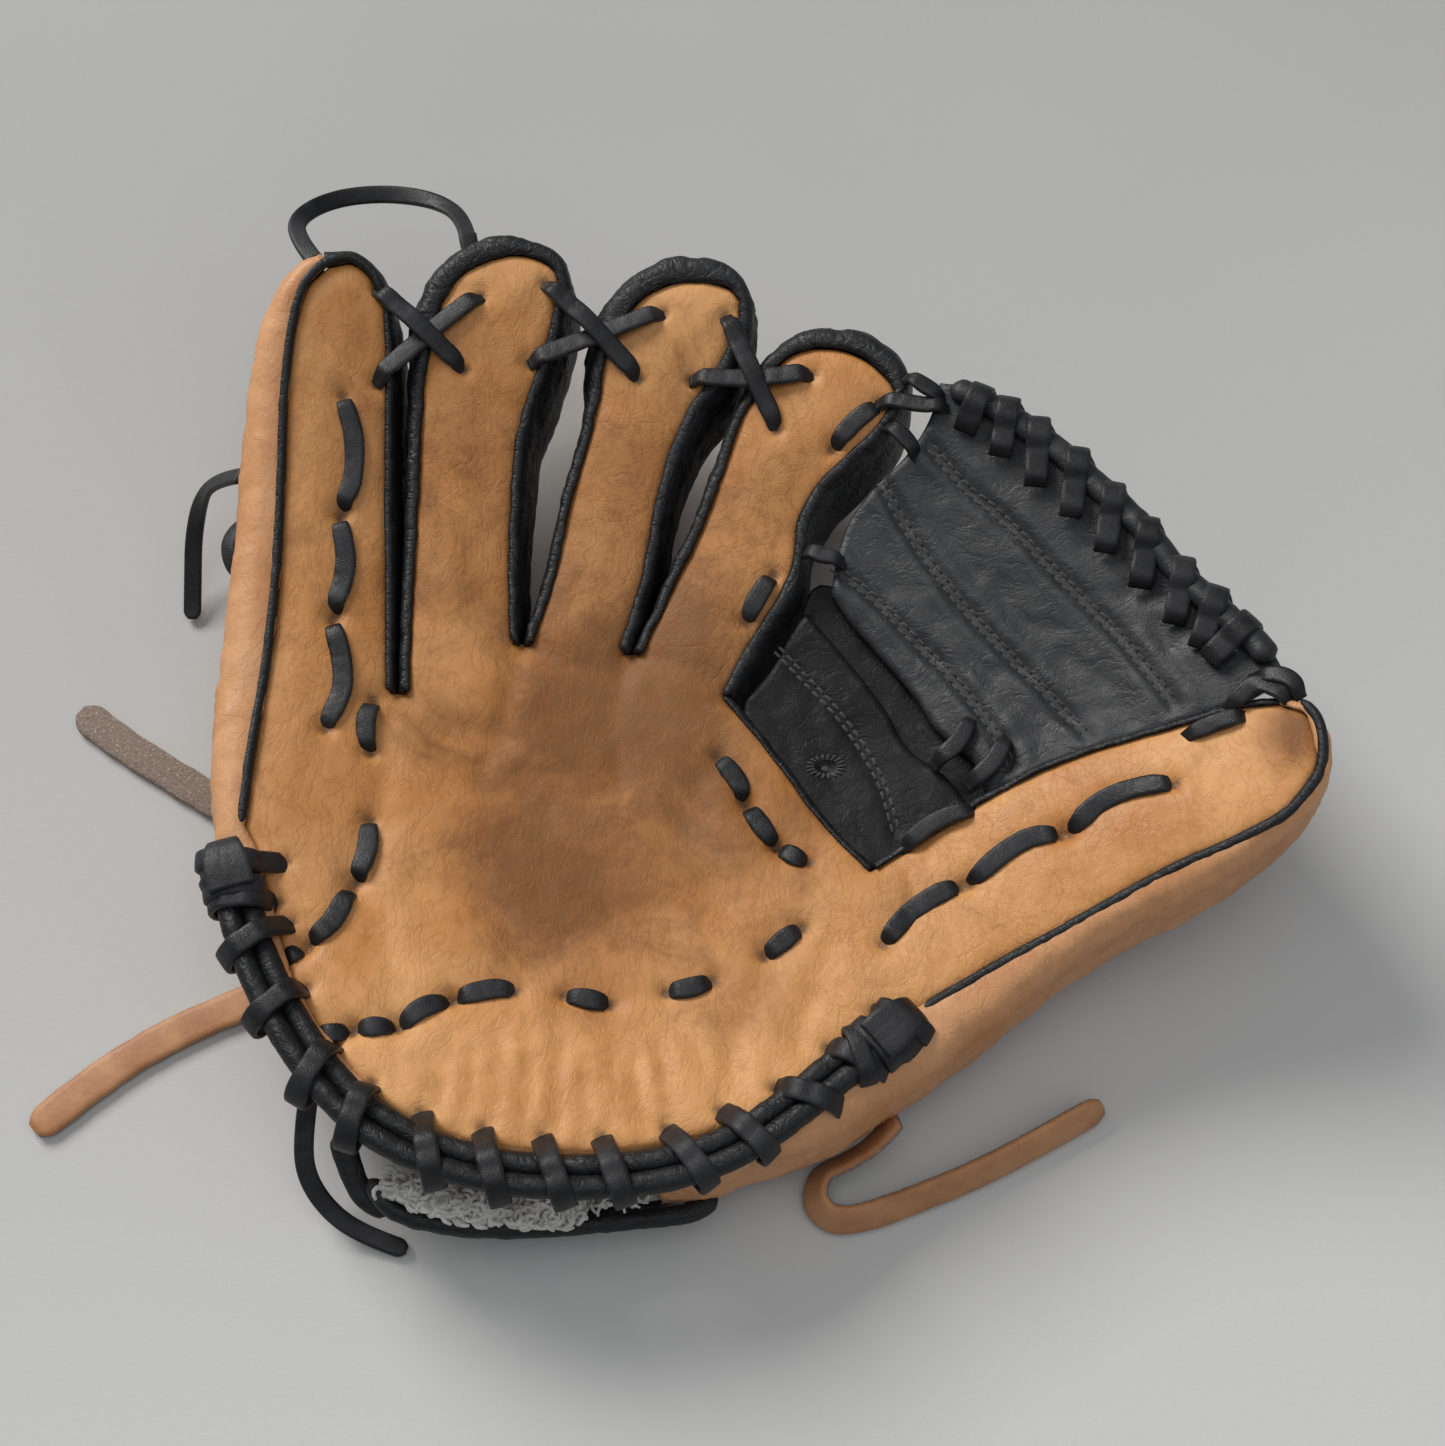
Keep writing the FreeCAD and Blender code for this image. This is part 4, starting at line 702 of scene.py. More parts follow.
# ---------------------------------------------------------------- free thongs and tails
def straight_from(points):
    """A NURBS spline's own line, with these places as its control points."""
    line = bpy.data.curves.new("route", "CURVE")
    line.dimensions = "3D"
    line.resolution_u = 16
    spline = line.splines.new("NURBS")
    spline.points.add(len(points) - 1)
    for point, place in zip(spline.points, points):
        point.co = (*[c * MM for c in place], 1.0)
    spline.order_u = 3
    spline.use_endpoint_u = True
    holder = bpy.data.objects.new("route", line)
    scene.collection.objects.link(holder)
    bpy.context.view_layer.update()
    drawn = bpy.data.meshes.new_from_object(holder.evaluated_get(bpy.context.evaluated_depsgraph_get()))
    path = np.array([tuple(v.co) for v in drawn.vertices]) / MM
    bpy.data.objects.remove(holder)
    bpy.data.curves.remove(line)
    bpy.data.meshes.remove(drawn)
    return path


def free_lace(name, points, width, skin, finish, body, node, slot, edge_up=False, suede=0.0,
              curl=0.0, lean=0.0):
    """A free thong or tail, cut square-ended with softened corners."""
    path = straight_from(points)
    n = len(path)
    along = np.gradient(path, axis=0)
    along /= np.linalg.norm(along, axis=1, keepdims=True)
    level = np.cross(along, (0, 0, 1.0))
    level /= np.linalg.norm(level, axis=1, keepdims=True)
    up = level if edge_up else np.cross(level, along)
    turn = lean + curl * np.sin(np.linspace(0, math.pi * 1.3, n))[:, None]
    up = up * np.cos(turn) + np.cross(along, up) * np.sin(turn)
    far = measured(path)
    taper = 1 - 0.55 * np.clip(1 - (far[-1] - far) / (width * 0.45), 0, 1) ** 2
    ragged = 1 + 0.05 * grown(path, 0.25, 2.0) if finish == THONG else 1.0
    points_, faces, rim, side = ribbon(path, up, width * taper * ragged, skin)
    piece = Piece().add(points_, faces, rim=rim, suede=np.abs(side - suede))
    made = piece.make(name, finish, body, [node], slot)
    return made


ON_FLOOR = 1.2
free_lace("thong_long", [(-60, 4, ON_FLOOR), (-76, 3, ON_FLOOR), (-93, 7, ON_FLOOR),
    (-111, 15, ON_FLOOR), (-127, 25, ON_FLOOR), (-141, 34, ON_FLOOR), (-151, 42, ON_FLOOR)],
    THONG_WIDTH, THONG_SKIN, THONG, "palm", "wrist_thong_long", "tan_thong", suede=1.0)
free_lace("thong_short", [(-62, -22, ON_FLOOR), (-76, -26, ON_FLOOR), (-90, -31, ON_FLOOR),
    (-104, -37, ON_FLOOR), (-121, -45, ON_FLOOR), (-137, -56, ON_FLOOR), (-150, -68, ON_FLOOR)],
    THONG_WIDTH, THONG_SKIN, THONG, "palm", "wrist_thong_short", "tan_thong")
free_lace("thong_thumb", [(56, -68.7, 15), (51.5, -73.5, 11.5), (45, -77, 8), (38, -79.5, 5.5),
    (36.5, -86, 4.6), (41, -90.5, 4.4), (49, -89.5, 4.4), (60, -85.5, 4.4), (74, -80, 4.4),
    (90, -72, 4.4), (106, -63, 4.4)], THONG_WIDTH, THONG_SKIN, THONG, "thumb", "thumb_thong",
    "tan_thong", edge_up=True, lean=-0.55)
free_lace("tail_heel", [(-80, -66, 27), (-82, -74, 20), (-82, -82, 12), (-76, -89.5, 5),
    (-67, -94, 1.5), (-59, -96.5, 0.9)], LACE_WIDTH, LACE_SKIN, LACE, "pinky", "heel_lace_tail",
    "black_lace")
free_lace("tail_finger", [(-106.5, 90, 40), (-114, 93, 33), (-120, 93, 24), (-123.5, 87, 14),
    (-124.5, 78, 6), (-124.8, 69, 1.2)], LACE_WIDTH, LACE_SKIN, LACE, "pinky", "finger_lace_tail",
    "black_lace")
free_lace("tip_loop", [(-88, 140.5, 61), (-94, 149, 60), (-94, 159, 55), (-86, 168, 50), (-73, 171, 48),
    (-60, 168, 49), (-52, 160, 52), (-50, 149.5, 57)], LACE_WIDTH, LACE_SKIN, LACE, PINKY_BLEND,
    "fingertip_loop", "black_lace", curl=0.7)

# ---------------------------------------------------------------- front leather
plan, triangles = cut_sheet(FRONT, 1.35)
edge_gap = gap(plan, FRONT_RIM)
top = np.column_stack([plan, front_height(plan)])
low = np.column_stack([plan, bowl(plan, 3.3)])
rim_edges = {}
for a, b, c in triangles:
    for pair in ((a, b), (b, c), (c, a)):
        rim_edges[frozenset(pair)] = None if frozenset(pair) in rim_edges else pair
count = len(plan)
front_faces = list(triangles) + [(a + count, c + count, b + count) for a, b, c in triangles]
front_faces += [(b, a, a + count, b + count) for a, b in (e for e in rim_edges.values() if e)]
front_points = np.vstack([top, low])
grime = np.zeros(count)
for (x, y, radius), strength in STAINS:
    grime += strength * near(plan, (x, y), radius * 1.25)
grime += 0.25 * np.exp(-((edge_gap / 3.0) ** 2)) * (plan[:, 1] > 45) * (plan[:, 1] < 100)
# Darker round the lace holes, beside the laces and along the very edge of the front leather.
press = np.zeros(count)
for hole in HOLES:
    press = np.maximum(press, near(plan, hole, 2.4))
for line in lace_lines:
    press = np.maximum(press, 0.5 * np.exp(-((gap(plan, line) / 3.0) ** 2)))
press = np.maximum(press, np.exp(-((edge_gap / 0.8) ** 2)) * 0.8)
# Lighter leather a few millimetres in from the edge, strongest at the fingertips, and over the heel: partly
# rubbed wear, partly painted highlight on the rounded edges and painted light on the heel, which faces the
# lamp.
tips = np.clip((plan[:, 1] - 112) / 18, 0, 1)
rim = np.exp(-(((edge_gap - 4.0) / 3.2) ** 2)) * (0.35 + 0.5 * tips)
rim += 0.55 * np.clip((-42 - plan[:, 1]) / 14, 0, 1)
rim += 0.5 * np.clip((-46 - plan[:, 1]) / 16, 0, 1) * np.exp(-((grown(plan * np.array([1, 0.4]), 0.16,
    5.0) - 0.5) ** 2) * 4)
values = {"grime": np.tile(grime, 2), "press": np.tile(press, 2), "rim": np.tile(rim, 2)}

whole = bpy.data.meshes.new("whole")
whole.from_pydata((front_points * MM).tolist(), [], front_faces)
normals = np.zeros(len(front_points) * 3, np.float32)
whole.vertex_normals.foreach_get("vector", normals)
normals = normals.reshape(-1, 3)
bpy.data.meshes.remove(whole)
centres = np.array([front_points[list(f)].mean(0) for f in front_faces])
in_pinky = centres[:, 0] < PINKY_LINE
in_thumb = past_thumb_line(centres) & ~in_pinky
for name, chosen, body, node in (("front_pinky", in_pinky, PINKY_BLEND, "pinky_leather"),
        ("front_thumb", in_thumb, THUMB_BLEND, "thumb_leather"),
        ("front_palm", ~in_pinky & ~in_thumb, "palm", "palm_leather")):
    faces = [front_faces[i] for i in np.flatnonzero(chosen)]
    used = np.unique([i for f in faces for i in f])
    renumber = {old: new for new, old in enumerate(used.tolist())}
    piece = Piece().add(front_points[used], [tuple(renumber[i] for i in f) for f in faces],
        **{key: kept[used] for key, kept in values.items()})
    made = piece.make(name, TAN, body, [node], "tan_leather", outward=False)
    made.data.normals_split_custom_set_from_vertices(normals[used].tolist())


# ---------------------------------------------------------------- plates and walls
def plate(name, loop, top_at, low_at, pitch, finish, body, nodes, slot, rumple=0.3, rings=(0.8, 2.0),
          rim_at=3.0, padded=None, **more):
    """A closed sheet of leather or felt between two surfaces."""
    places, tris = cut_sheet(loop, pitch, rings)
    inside = gap(places, np.vstack([loop, loop[:1]]))
    high = top_at(places, inside) + rumple * grown(places, 0.08, 4.0)
    deep = low_at(places, inside)
    n = len(places)
    edges = {}
    for a, b, c in tris:
        for pair in ((a, b), (b, c), (c, a)):
            edges[frozenset(pair)] = None if frozenset(pair) in edges else pair
    faces = list(tris) + [(a + n, c + n, b + n) for a, b, c in tris]
    faces += [(b, a, a + n, b + n) for a, b in (e for e in edges.values() if e)]
    points = np.vstack([np.column_stack([places, high]), np.column_stack([places, deep])])
    worn = np.exp(-((inside / rim_at) ** 2))
    piece = Piece().add(points, faces, rim=np.tile(worn, 2), grime=0.25, **more)
    made = piece.make(name, finish, body, nodes, slot)
    return made


def wall(name, top_line, brim, finish, body, nodes, slot, top_depth=1.0, drop=8.0, puff=1.0, tuck=3.0,
         crumple=0.35, inset=0.8, foot_depth=24.6, thick=1.5, rim_top=0.6, grime=0.0):
    """Leather round the side of a stall: out from its top line, over, and down to the back."""
    n = len(top_line)
    ahead = np.gradient(brim, axis=0)
    ahead /= np.maximum(np.linalg.norm(ahead, axis=1, keepdims=True), 1e-9)
    inward = np.stack([-ahead[:, 1], ahead[:, 0]], 1)
    middle = top_line.mean(0)
    if ((middle - brim) * inward).sum() < 0:
        inward = -inward
    rows, worn = [], []
    start = top_line + inward * inset
    for step in range(9):
        a = step / 8 * math.pi / 2
        flat = start + (brim - start) * math.sin(a)
        rows.append(np.column_stack([flat, bowl(flat) - top_depth - drop * (1 - math.cos(a))
            + puff * math.sin(2 * a)]))
        worn.append(rim_top * math.sin(2 * a))
    for depth in np.linspace(top_depth + drop + 2, foot_depth - 3, 6):
        flat = brim - inward * 0.5
        rows.append(np.column_stack([flat, bowl(flat, depth)]))
        worn.append(0.1)
    for a in np.linspace(0.3, 1.0, 4) * math.pi / 2:
        flat = brim + inward * tuck * (1 - math.cos(a))
        rows.append(np.column_stack([flat, bowl(flat, foot_depth - 3 + 3 * math.sin(a))]))
        worn.append(0.2)
    points = np.vstack(rows)
    wavy = crumple * grown(points * np.array([1, 1, 1.6]), 0.13, 1.0) + crumple * 0.5 * grown(points,
        0.35, 6.0)
    push = np.tile(-inward, (len(rows), 1)) * wavy[:, None]
    points[:, :2] += push
    points[:, 2] = np.maximum(points[:, 2] + wavy * 0.6, 0.9)
    faces = [(r * n + i, r * n + i + 1, (r + 1) * n + i + 1, (r + 1) * n + i)
             for r in range(len(rows) - 1) for i in range(n - 1)]
    return Piece().add(points, faces, rim=np.repeat(worn, n), grime=grime).make(
        name, finish, body, nodes, slot, thick=thick)


for stall, (front, outer) in STALLS.items():
    counts = (64, 60, 64)
    tops = np.vstack([smooth(s, count=c)[(1 if i else 0):] for i, (s, c) in enumerate(zip(front, counts))])
    brims = np.vstack([smooth(s, count=c)[(1 if i else 0):] for i, (s, c) in enumerate(zip(outer, counts))])
    wall(f"{stall}_wall", tops, brims, BLACK, "palm", [f"{stall}_gusset", f"{stall}_tip_cap"],
         "black_leather", top_depth=0.9, drop=7.0, puff=1.3, crumple=0.45)
    loop = joined(*outer, [outer[2][-1], outer[0][0]], step=2.5)
    plate(f"{stall}_back_leather", loop, lambda p, d: bowl(p, BACK_INSIDE),
          lambda p, d: np.maximum(bowl(p, 25.6) - 1.2 * (1 - np.exp(-((d / 8) ** 2))) + 0.8, 0.6),
          3.0, OUTER_TAN, "palm", [f"{stall}_back"], "tan_leather")

slit_top = smooth(PINKY_SLIT, count=70)
slit_wall_top = np.vstack([slit_top, smooth([(-69, 128), (-72, 134.5), (-77.5, 138), (-84, 136.3)],
    count=30)[1:]])
slit_brim = np.vstack([smooth([(x + 0.6, y) for x, y in PINKY_SLIT], count=70),
    smooth([(-68.4, 128), (-71, 136.5), (-78, 140.5), (-85, 139.5)], count=30)[1:]])
wall("pinky_slit_wall", slit_wall_top, slit_brim, BLACK, PINKY_BLEND, ["pinky_gusset"], "black_leather",
     top_depth=0.9, drop=6.0, puff=1.0, crumple=0.3)
web_wall_top = smooth(WEB_SIDE, count=100)
wall("thumb_web_wall", web_wall_top, smooth([(x - 0.3, y + 0.8) for x, y in WEB_SIDE], count=100), BLACK,
     THUMB_BLEND, ["thumb_gusset"], "black_leather", top_depth=0.9, drop=6.0, puff=0.6, crumple=0.3)
wall("web_edge_wall", smooth(WEB_EDGE, count=50), smooth([(x + 0.6, y + 0.6) for x, y in WEB_EDGE],
    count=50), BLACK, "palm", ["web_side_gusset"], "black_leather", top_depth=1.2, drop=5.0, puff=0.2,
    crumple=0.3)

pinky_top = np.vstack([smooth(PINKY_WELT, count=120), smooth([(-97.5, -8)] + PINKY_HEEL + [(-66, -67)],
    count=50)[1:]])
pinky_brim = np.vstack([smooth([(-86, 139), (-92, 136), (-98, 127), (-102, 113), (-104, 90),
    (-105.5, 60), (-107, 35), (-107, 10), (-104, -8)], count=120), smooth(PINKY_UNDER, count=50)[1:]])
wall("pinky_outer_wall", pinky_top, pinky_brim, OUTER_TAN, PINKY_BLEND, ["pinky_outer_leather"],
     "tan_leather", top_depth=0.6, drop=9.5, puff=0.9, crumple=0.5, tuck=4.0, thick=2.0, rim_top=0.9,
     grime=0.15)
thumb_top = np.vstack([smooth([(145.4, 19.3), (150.5, 16), (152.3, 9.5), (152, 2)] + THUMB_WELT,
    count=130), smooth([(59, -48)] + THUMB_HEEL + [(26, -73), (12, -80), (2, -83)], count=70)[1:]])
thumb_brim = np.vstack([smooth(THUMB_TIP + THUMB_SIDE[1:], count=130),
    smooth(THUMB_UNDER + [(10, -86.5), (1, -87)], count=70)[1:]])
wall("thumb_outer_wall", thumb_top, thumb_brim, OUTER_TAN, THUMB_BLEND, ["thumb_outer_leather"],
     "tan_leather", top_depth=0.6, drop=9.5, puff=0.9, crumple=0.5, tuck=4.0, thick=2.0, rim_top=0.9,
     grime=0.15)


def under_back(p, d):
    """Outside of the back leather, flat where it rests."""
    return np.maximum(bowl(p, BACK_DEPTH - 0.4) + 0.4 * np.exp(-d / 3.0), 0.5)


def over_back(p, d):
    """Inside of the back leather."""
    return np.maximum(bowl(p, BACK_INSIDE), 2.2)


pinky_back_loop = joined([(-66.5, -73)] + [(-66.5, 30)], PINKY_SLIT, PINKY_TIP, PINKY_SIDE, PINKY_UNDER,
    step=2.5)
plate("pinky_back_leather", pinky_back_loop, over_back, under_back, 3.0, OUTER_TAN, PINKY_BLEND,
      ["pinky_back"], "tan_leather")
thumb_back_loop = joined(WEB_SIDE, THUMB_TIP, THUMB_SIDE, THUMB_UNDER, [(23, -82), (51.6, -10.6)], step=2.5)
plate("thumb_back_leather", thumb_back_loop, over_back, under_back, 3.0, OUTER_TAN, THUMB_BLEND,
      ["thumb_back"], "tan_leather")
BACK_LOOP = [(-64.3, 34), (-36, 48), (-34.5, 48), (-8.7, 47), (-6.8, 47), (17.5, 35.5), (21, 29),
    (29, 18), (39, 3), (50.6, -11), (35.3, -50), (-65.7, -50), (-65.7, 34)]
plate("hand_back", straight_sided(BACK_LOOP, 2.5),
      over_back, under_back, 3.5, OUTER_TAN, "palm", ["hand_back_panel"], "tan_leather")
CORE = {"palm": ([(-62, -66), (-62, 32), (-36, 42), (-8, 41), (13, 31), (34, 1), (45, -12), (23, -66)],
    "palm"), "pinky": ([(-70.5, -58), (-70.5, 120), (-89, 118), (-91, 40), (-93, 0), (-86, -35)],
    PINKY_BLEND), "thumb": ([(60, -11), (80, 1), (118, 12), (138, 12), (138, -5), (92, -27), (50, -46),
    (38, -57)], THUMB_BLEND)}
for part, (corners, body) in CORE.items():
    loop = straight_sided(corners, 3.0)
    plate(f"{part}_felt", loop, lambda p, d: bowl(p, 3.6 + 1.2 * np.exp(-d / 3)), lambda p,
        d: bowl(p, 8.4 - 1.5 * np.exp(-d / 3)), 4.0, FELT, body, [f"{part}_pad"], "felt_pad",
        padded=0.4)
loop = straight_sided(CORE["palm"][0], 3.0)
plate("palm_lining_sheet", loop, lambda p, d: bowl(p, 8.8), lambda p, d: bowl(p, 10.0), 4.0, LINING, "palm",
      ["palm_lining"], "palm_lining")

# ---------------------------------------------------------------- welts
for name, line, body, node in (("welt_pinky", [(-70, 130), (-73, 135.5), (-78, 138.2)] + PINKY_WELT,
        PINKY_BLEND, "pinky_welt"), ("welt_thumb", [(149, 18.5), (152, 13), (152.6, 6),
        (151.3, 0)] + THUMB_WELT, THUMB_BLEND, "thumb_welt")):
    flat = smooth(line, 1.2)
    path = np.column_stack([flat, bowl(flat) - 0.25 + 0.15 * grown(flat, 0.3)])
    points, faces = tube(path, rounded(len(path), 1.35), 10)
    Piece().add(points, faces, rim=0.3).make(name, ROLL_BLACK, body, [node], "black_leather")


# ---------------------------------------------------------------- laces on the leather
def sewn(piece, line, height, width=5.0, skin=1.6, rise=0.75, dive=2.2, lead=2.4, hump=0.0, seed=0.0):
    """One length of lace that comes up through a hole, lies on the leather and goes down again."""
    flat = smooth(line, 0.7)
    far = measured(flat)
    end = np.minimum(far, far[-1] - far)
    level = rise - (rise + dive) * (1 - eased(end / lead)) + 0.25 * grown(flat, 0.2, seed)
    level += hump * np.exp(-(((far - far[-1] / 2) / 6.5) ** 2))
    path = np.column_stack([flat, height(flat) + level])
    wide = width * (0.74 + 0.26 * eased(end / 5.5)) * (1 + 0.06 * grown(flat, 0.15, seed + 2))
    tilt = np.column_stack([0.12 * grown(flat, 0.12, seed + 4), 0.12 * grown(flat, 0.12, seed + 8),
        np.ones(len(flat))])
    points, faces, rim, side = ribbon(path, tilt, wide, skin)
    piece.add(points, faces, rim=rim, side=side)


def bridge(flat):
    """Height of a lace that spans a gap between two stalls."""
    return bowl(flat) + 0.9


for name, lines, body, node in (("lace_pinky", PINKY_LACE + HEEL_CHAIN[:1], PINKY_BLEND, "pinky_lace"),
        ("lace_thumb", THUMB_LACE, THUMB_BLEND, "thumb_lace"),
        ("lace_palm", PALM_LACE + HEEL_CHAIN[1:], "palm", "palm_lace")):
    piece = Piece()
    for number, line in enumerate(lines):
        sewn(piece, line, front_height, seed=number * 3.1)
    if node == "pinky_lace":
        path = smooth([(-101, 84, 29), (-106.5, 80.5, 32), (-109.5, 75, 32.5), (-108, 69, 31.5),
            (-102.5, 65, 30)], 0.7)
        points, faces, rim, side = ribbon(path, (-0.6, 0.0, 1.0), 4.4, 1.6)
        piece.add(points, faces, rim=rim, side=side)
    piece.make(name, LACE, body, [node], "black_lace")

for name, under, over, body, node in (("cross_pinky_ring", [(-46, 133), (-58, 123), (-72, 110)],
        [(-72, 132), (-61, 123), (-50, 115)], PINKY_BLEND, "pinky_ring_lace"),
        ("cross_ring_middle", [(-34, 118), (-18, 124), (0, 131)], [(-30, 137), (-18, 126), (-6, 115)],
        "palm", "ring_middle_lace"), ("cross_middle_index", [(7, 115), (22, 114), (38, 115)],
        [(16, 130), (22, 116), (29, 102)], "palm", "middle_index_lace")):
    piece = Piece()
    sewn(piece, under, bridge, rise=0.7, lead=3.5, seed=1.0)
    sewn(piece, over, bridge, rise=0.9, hump=2.0, lead=3.5, seed=5.0)
    if node == "ring_middle_lace":
        path = smooth([(-50.2, 151, 57.5), (-49.6, 148, 57), (-48.8, 144.5, 55), (-48, 141, 51.5),
            (-47.5, 139, 48)], 0.7)
        points, faces, rim, side = ribbon(path, (0.15, 0.4, 1.0), 4.7, 1.6)
        piece.add(points, faces, rim=rim, side=side)
    piece.make(name, LACE, body, [node], "black_lace")

# ---------------------------------------------------------------- heel rolls and the lace round them
ROLL_LINE = [(-101, -12), (-97, -25), (-91, -40), (-83, -54), (-74, -66), (-63, -76), (-49, -83),
             (-32, -87), (-14, -87.5), (3, -85.5), (18, -80), (31, -71), (42, -62), (52, -55), (58, -50)]
roll_middle = smooth(ROLL_LINE, 0.9)
roll_ahead = np.gradient(roll_middle, axis=0)
roll_ahead /= np.linalg.norm(roll_ahead, axis=1, keepdims=True)
roll_side = np.stack([-roll_ahead[:, 1], roll_ahead[:, 0]], 1)  # towards the palm
TURNS = [((-87.7, -12.7), (-104.1, -17.6)), ((-89, -23), (-103.0, -24.7)), ((-85.3, -27.7), (-99.6, -38.3)),
         ((-80.6, -43.6), (-92.5, -53.8)), ((-72.8, -56.6), (-80.8, -71.0)), ((-64.2, -66), (-69.0, -81.5)),
         ((-52.6, -72.5), (-48.4, -90)), ((-39.1, -76), (-33.9, -93.4)), ((-25.7, -77.5), (-19.6, -93.8)),
         ((-12.3, -77.5), (-6.3, -93)), ((2.2, -75.5), (12.6, -89.0)), ((14.6, -71), (25.7, -81.5)),
         ((27, -66), (41.8, -70.5)), ((39, -56.5), (52.5, -62.6)), ((50.3, -47.8), (60.0, -57.5))]
pinch = np.zeros(len(roll_middle))
for inner, outer in TURNS:
    crossed = np.array(inner) * 0.35 + np.array(outer) * 0.65
    pinch = np.maximum(pinch, near(roll_middle, crossed, 3.0))
roll_groups = {"pinky": (roll_middle[:, 0] < PINKY_LINE, PINKY_BLEND, "pinky_"),
    "thumb": (past_thumb_line(roll_middle), THUMB_BLEND, "thumb_")}
roll_groups["palm"] = (~roll_groups["pinky"][0] & ~roll_groups["thumb"][0], "palm", "")
ROLL_RADIUS = 2.75
for part, (chosen, body, prefix) in roll_groups.items():
    picked = np.flatnonzero(chosen)
    picked = np.arange(max(picked[0] - 1, 0), min(picked[-1] + 2, len(roll_middle)))
    for label, shift in (("inner", 1), ("outer", -1)):
        flat = roll_middle + roll_side * shift * (ROLL_RADIUS - 0.25)
        sway = 0.35 * grown(flat, 0.12, shift * 3.0)
        path = np.column_stack([flat, bowl(flat) + 0.4 + sway - 0.25 * pinch])[picked]
        radii = (ROLL_RADIUS * (1 - 0.1 * pinch) + 0.18 * grown(flat, 0.3, shift))[picked]
        if part == "pinky":
            radii[:3] *= (0.45, 0.8, 0.96)
        if part == "thumb":
            radii[-3:] *= (0.96, 0.8, 0.45)
        points, faces = tube(path, radii, 16)
        Piece().add(points, faces, rim=0.25).make(f"roll_{label}_{part}", ROLL_BLACK, body,
            [f"{prefix}heel_roll_{label}"], "black_leather")


def wound(piece, inner, outer, seed):
    """One turn of lace: up from its hole, over both rolls, down and under them."""
    inner, outer = np.array(inner, float), np.array(outer, float)
    away = (outer - inner) / np.linalg.norm(outer - inner)
    nearest = np.argmin(np.linalg.norm(roll_middle - (inner * 0.35 + outer * 0.65), axis=1))
    centre = roll_middle[nearest]
    reach = np.linalg.norm(outer - inner)
    base = float(bowl(centre))
    at = ((centre - inner) @ away)
    stops = [(-0.8, float(front_height(inner[None])[0]) - 2.6),
        (0.8, float(front_height(inner[None])[0]) + 0.2), (max(at - 5.4, 2.4), base + 2.2),
        (at - 2.6, base + 4.25), (at + 0.1, base + 4.1), (at + 2.8, base + 4.2),
        (max(at + 5.6, reach * 0.9), base + 2.0), (max(at + 6.3, reach), base - 1.0),
        (max(at + 5.2, reach * 0.93), base - 4.2), (at + 1.5, base - 5.2), (at - 3.0, base - 5.0)]
    path = smooth([(*(inner + away * far), height) for far, height in stops], 0.7)
    slope = np.gradient(path, axis=0)
    level = np.cross(slope, (*np.array([-away[1], away[0]]), 0.0))
    level *= np.sign(level[3, 2]) if level[3, 2] else 1.0
    points, faces, rim, side = ribbon(path, level, 5.3 + 0.4 * grown(path, 0.2, seed), 1.6)
    piece.add(points, faces, rim=rim, side=side)


def banded(piece, at, tilt, wide, high, width=4.6, lift=0.6):
    """One turn of lace that goes right round both rolls, as in a knot."""
    ahead = np.array([*roll_ahead[at], 0.0])
    side = np.array([*roll_side[at], 0.0])
    across = side * math.cos(tilt) + ahead * math.sin(tilt)
    turn = np.linspace(0, 2 * math.pi, 44, endpoint=False)
    centre = np.array([*roll_middle[at], float(bowl(roll_middle[at])) + lift])
    ellipse = np.sign(np.cos(turn)) * np.abs(np.cos(turn)) ** 0.8
    path = centre + across * (ellipse * wide)[:,
        None] + np.array([0, 0, 1.0]) * (np.sin(turn) * high)[:, None]
    out = across * (ellipse / wide)[:, None] + np.array([0, 0, 1.0]) * (np.sin(turn) / high)[:, None]
    points, faces, rim, side_ = ribbon(path, out, width, 1.6, closed=True)
    piece.add(points, faces, rim=rim, side=side_)


whips = {"pinky": Piece(), "palm": Piece(), "thumb": Piece()}
for number, (inner, outer) in enumerate(TURNS):
    part = "pinky" if inner[0] < PINKY_LINE else "thumb" if past_thumb_line(outer) else "palm"
    wound(whips[part], inner, outer, number * 2.3)
last = len(roll_middle) - 1
for at, tilt, wide, high in ((3, 0.25, 6.9, 4.3), (7, -0.3, 6.7, 4.2), (11, 0.12, 6.6, 4.15)):
    banded(whips["pinky"], at, tilt, wide, high)
for at, tilt, wide, high in ((last - 2, -0.3, 6.8, 4.3), (last - 6, 0.35, 6.9, 4.4),
        (last - 11, -0.15, 6.6, 4.2), (last - 16, 0.3, 6.6, 4.2)):
    banded(whips["thumb"], at, tilt, wide, high)


def capped(piece, at, way, reach, spread, seed):
    """Lace folded over the end of the rolls."""
    ahead = np.array([*roll_ahead[at], 0.0]) * way
    side = np.array([*roll_side[at], 0.0]) * spread
    up = np.array([0, 0, 1.0])
    tip = np.array([*roll_middle[at], float(bowl(roll_middle[at])) + 0.6])
    stops = [tip - ahead * reach + side + up * 4.6, tip - ahead * (reach * 0.4) + side + up * 5.2,
             tip + ahead * 1.2 + side * 0.6 + up * 4.4, tip + ahead * 3.6 + side * 0.3 + up * 1.6,
             tip + ahead * 3.8 - up * 1.8, tip + ahead * 1.5 - side * 0.4 - up * 4.8,
             tip - ahead * (reach * 0.6) - side - up * 5.4]
    path = smooth(stops, 0.7)
    slope = np.gradient(path, axis=0)
    level = np.cross(slope, roll_side[at].tolist() + [0.0])
    level *= np.sign(level[3, 2])
    points, faces, rim, side_ = ribbon(path, level, 5.6 + 0.3 * grown(path, 0.2, seed), 1.8)
    piece.add(points, faces, rim=rim, side=side_)


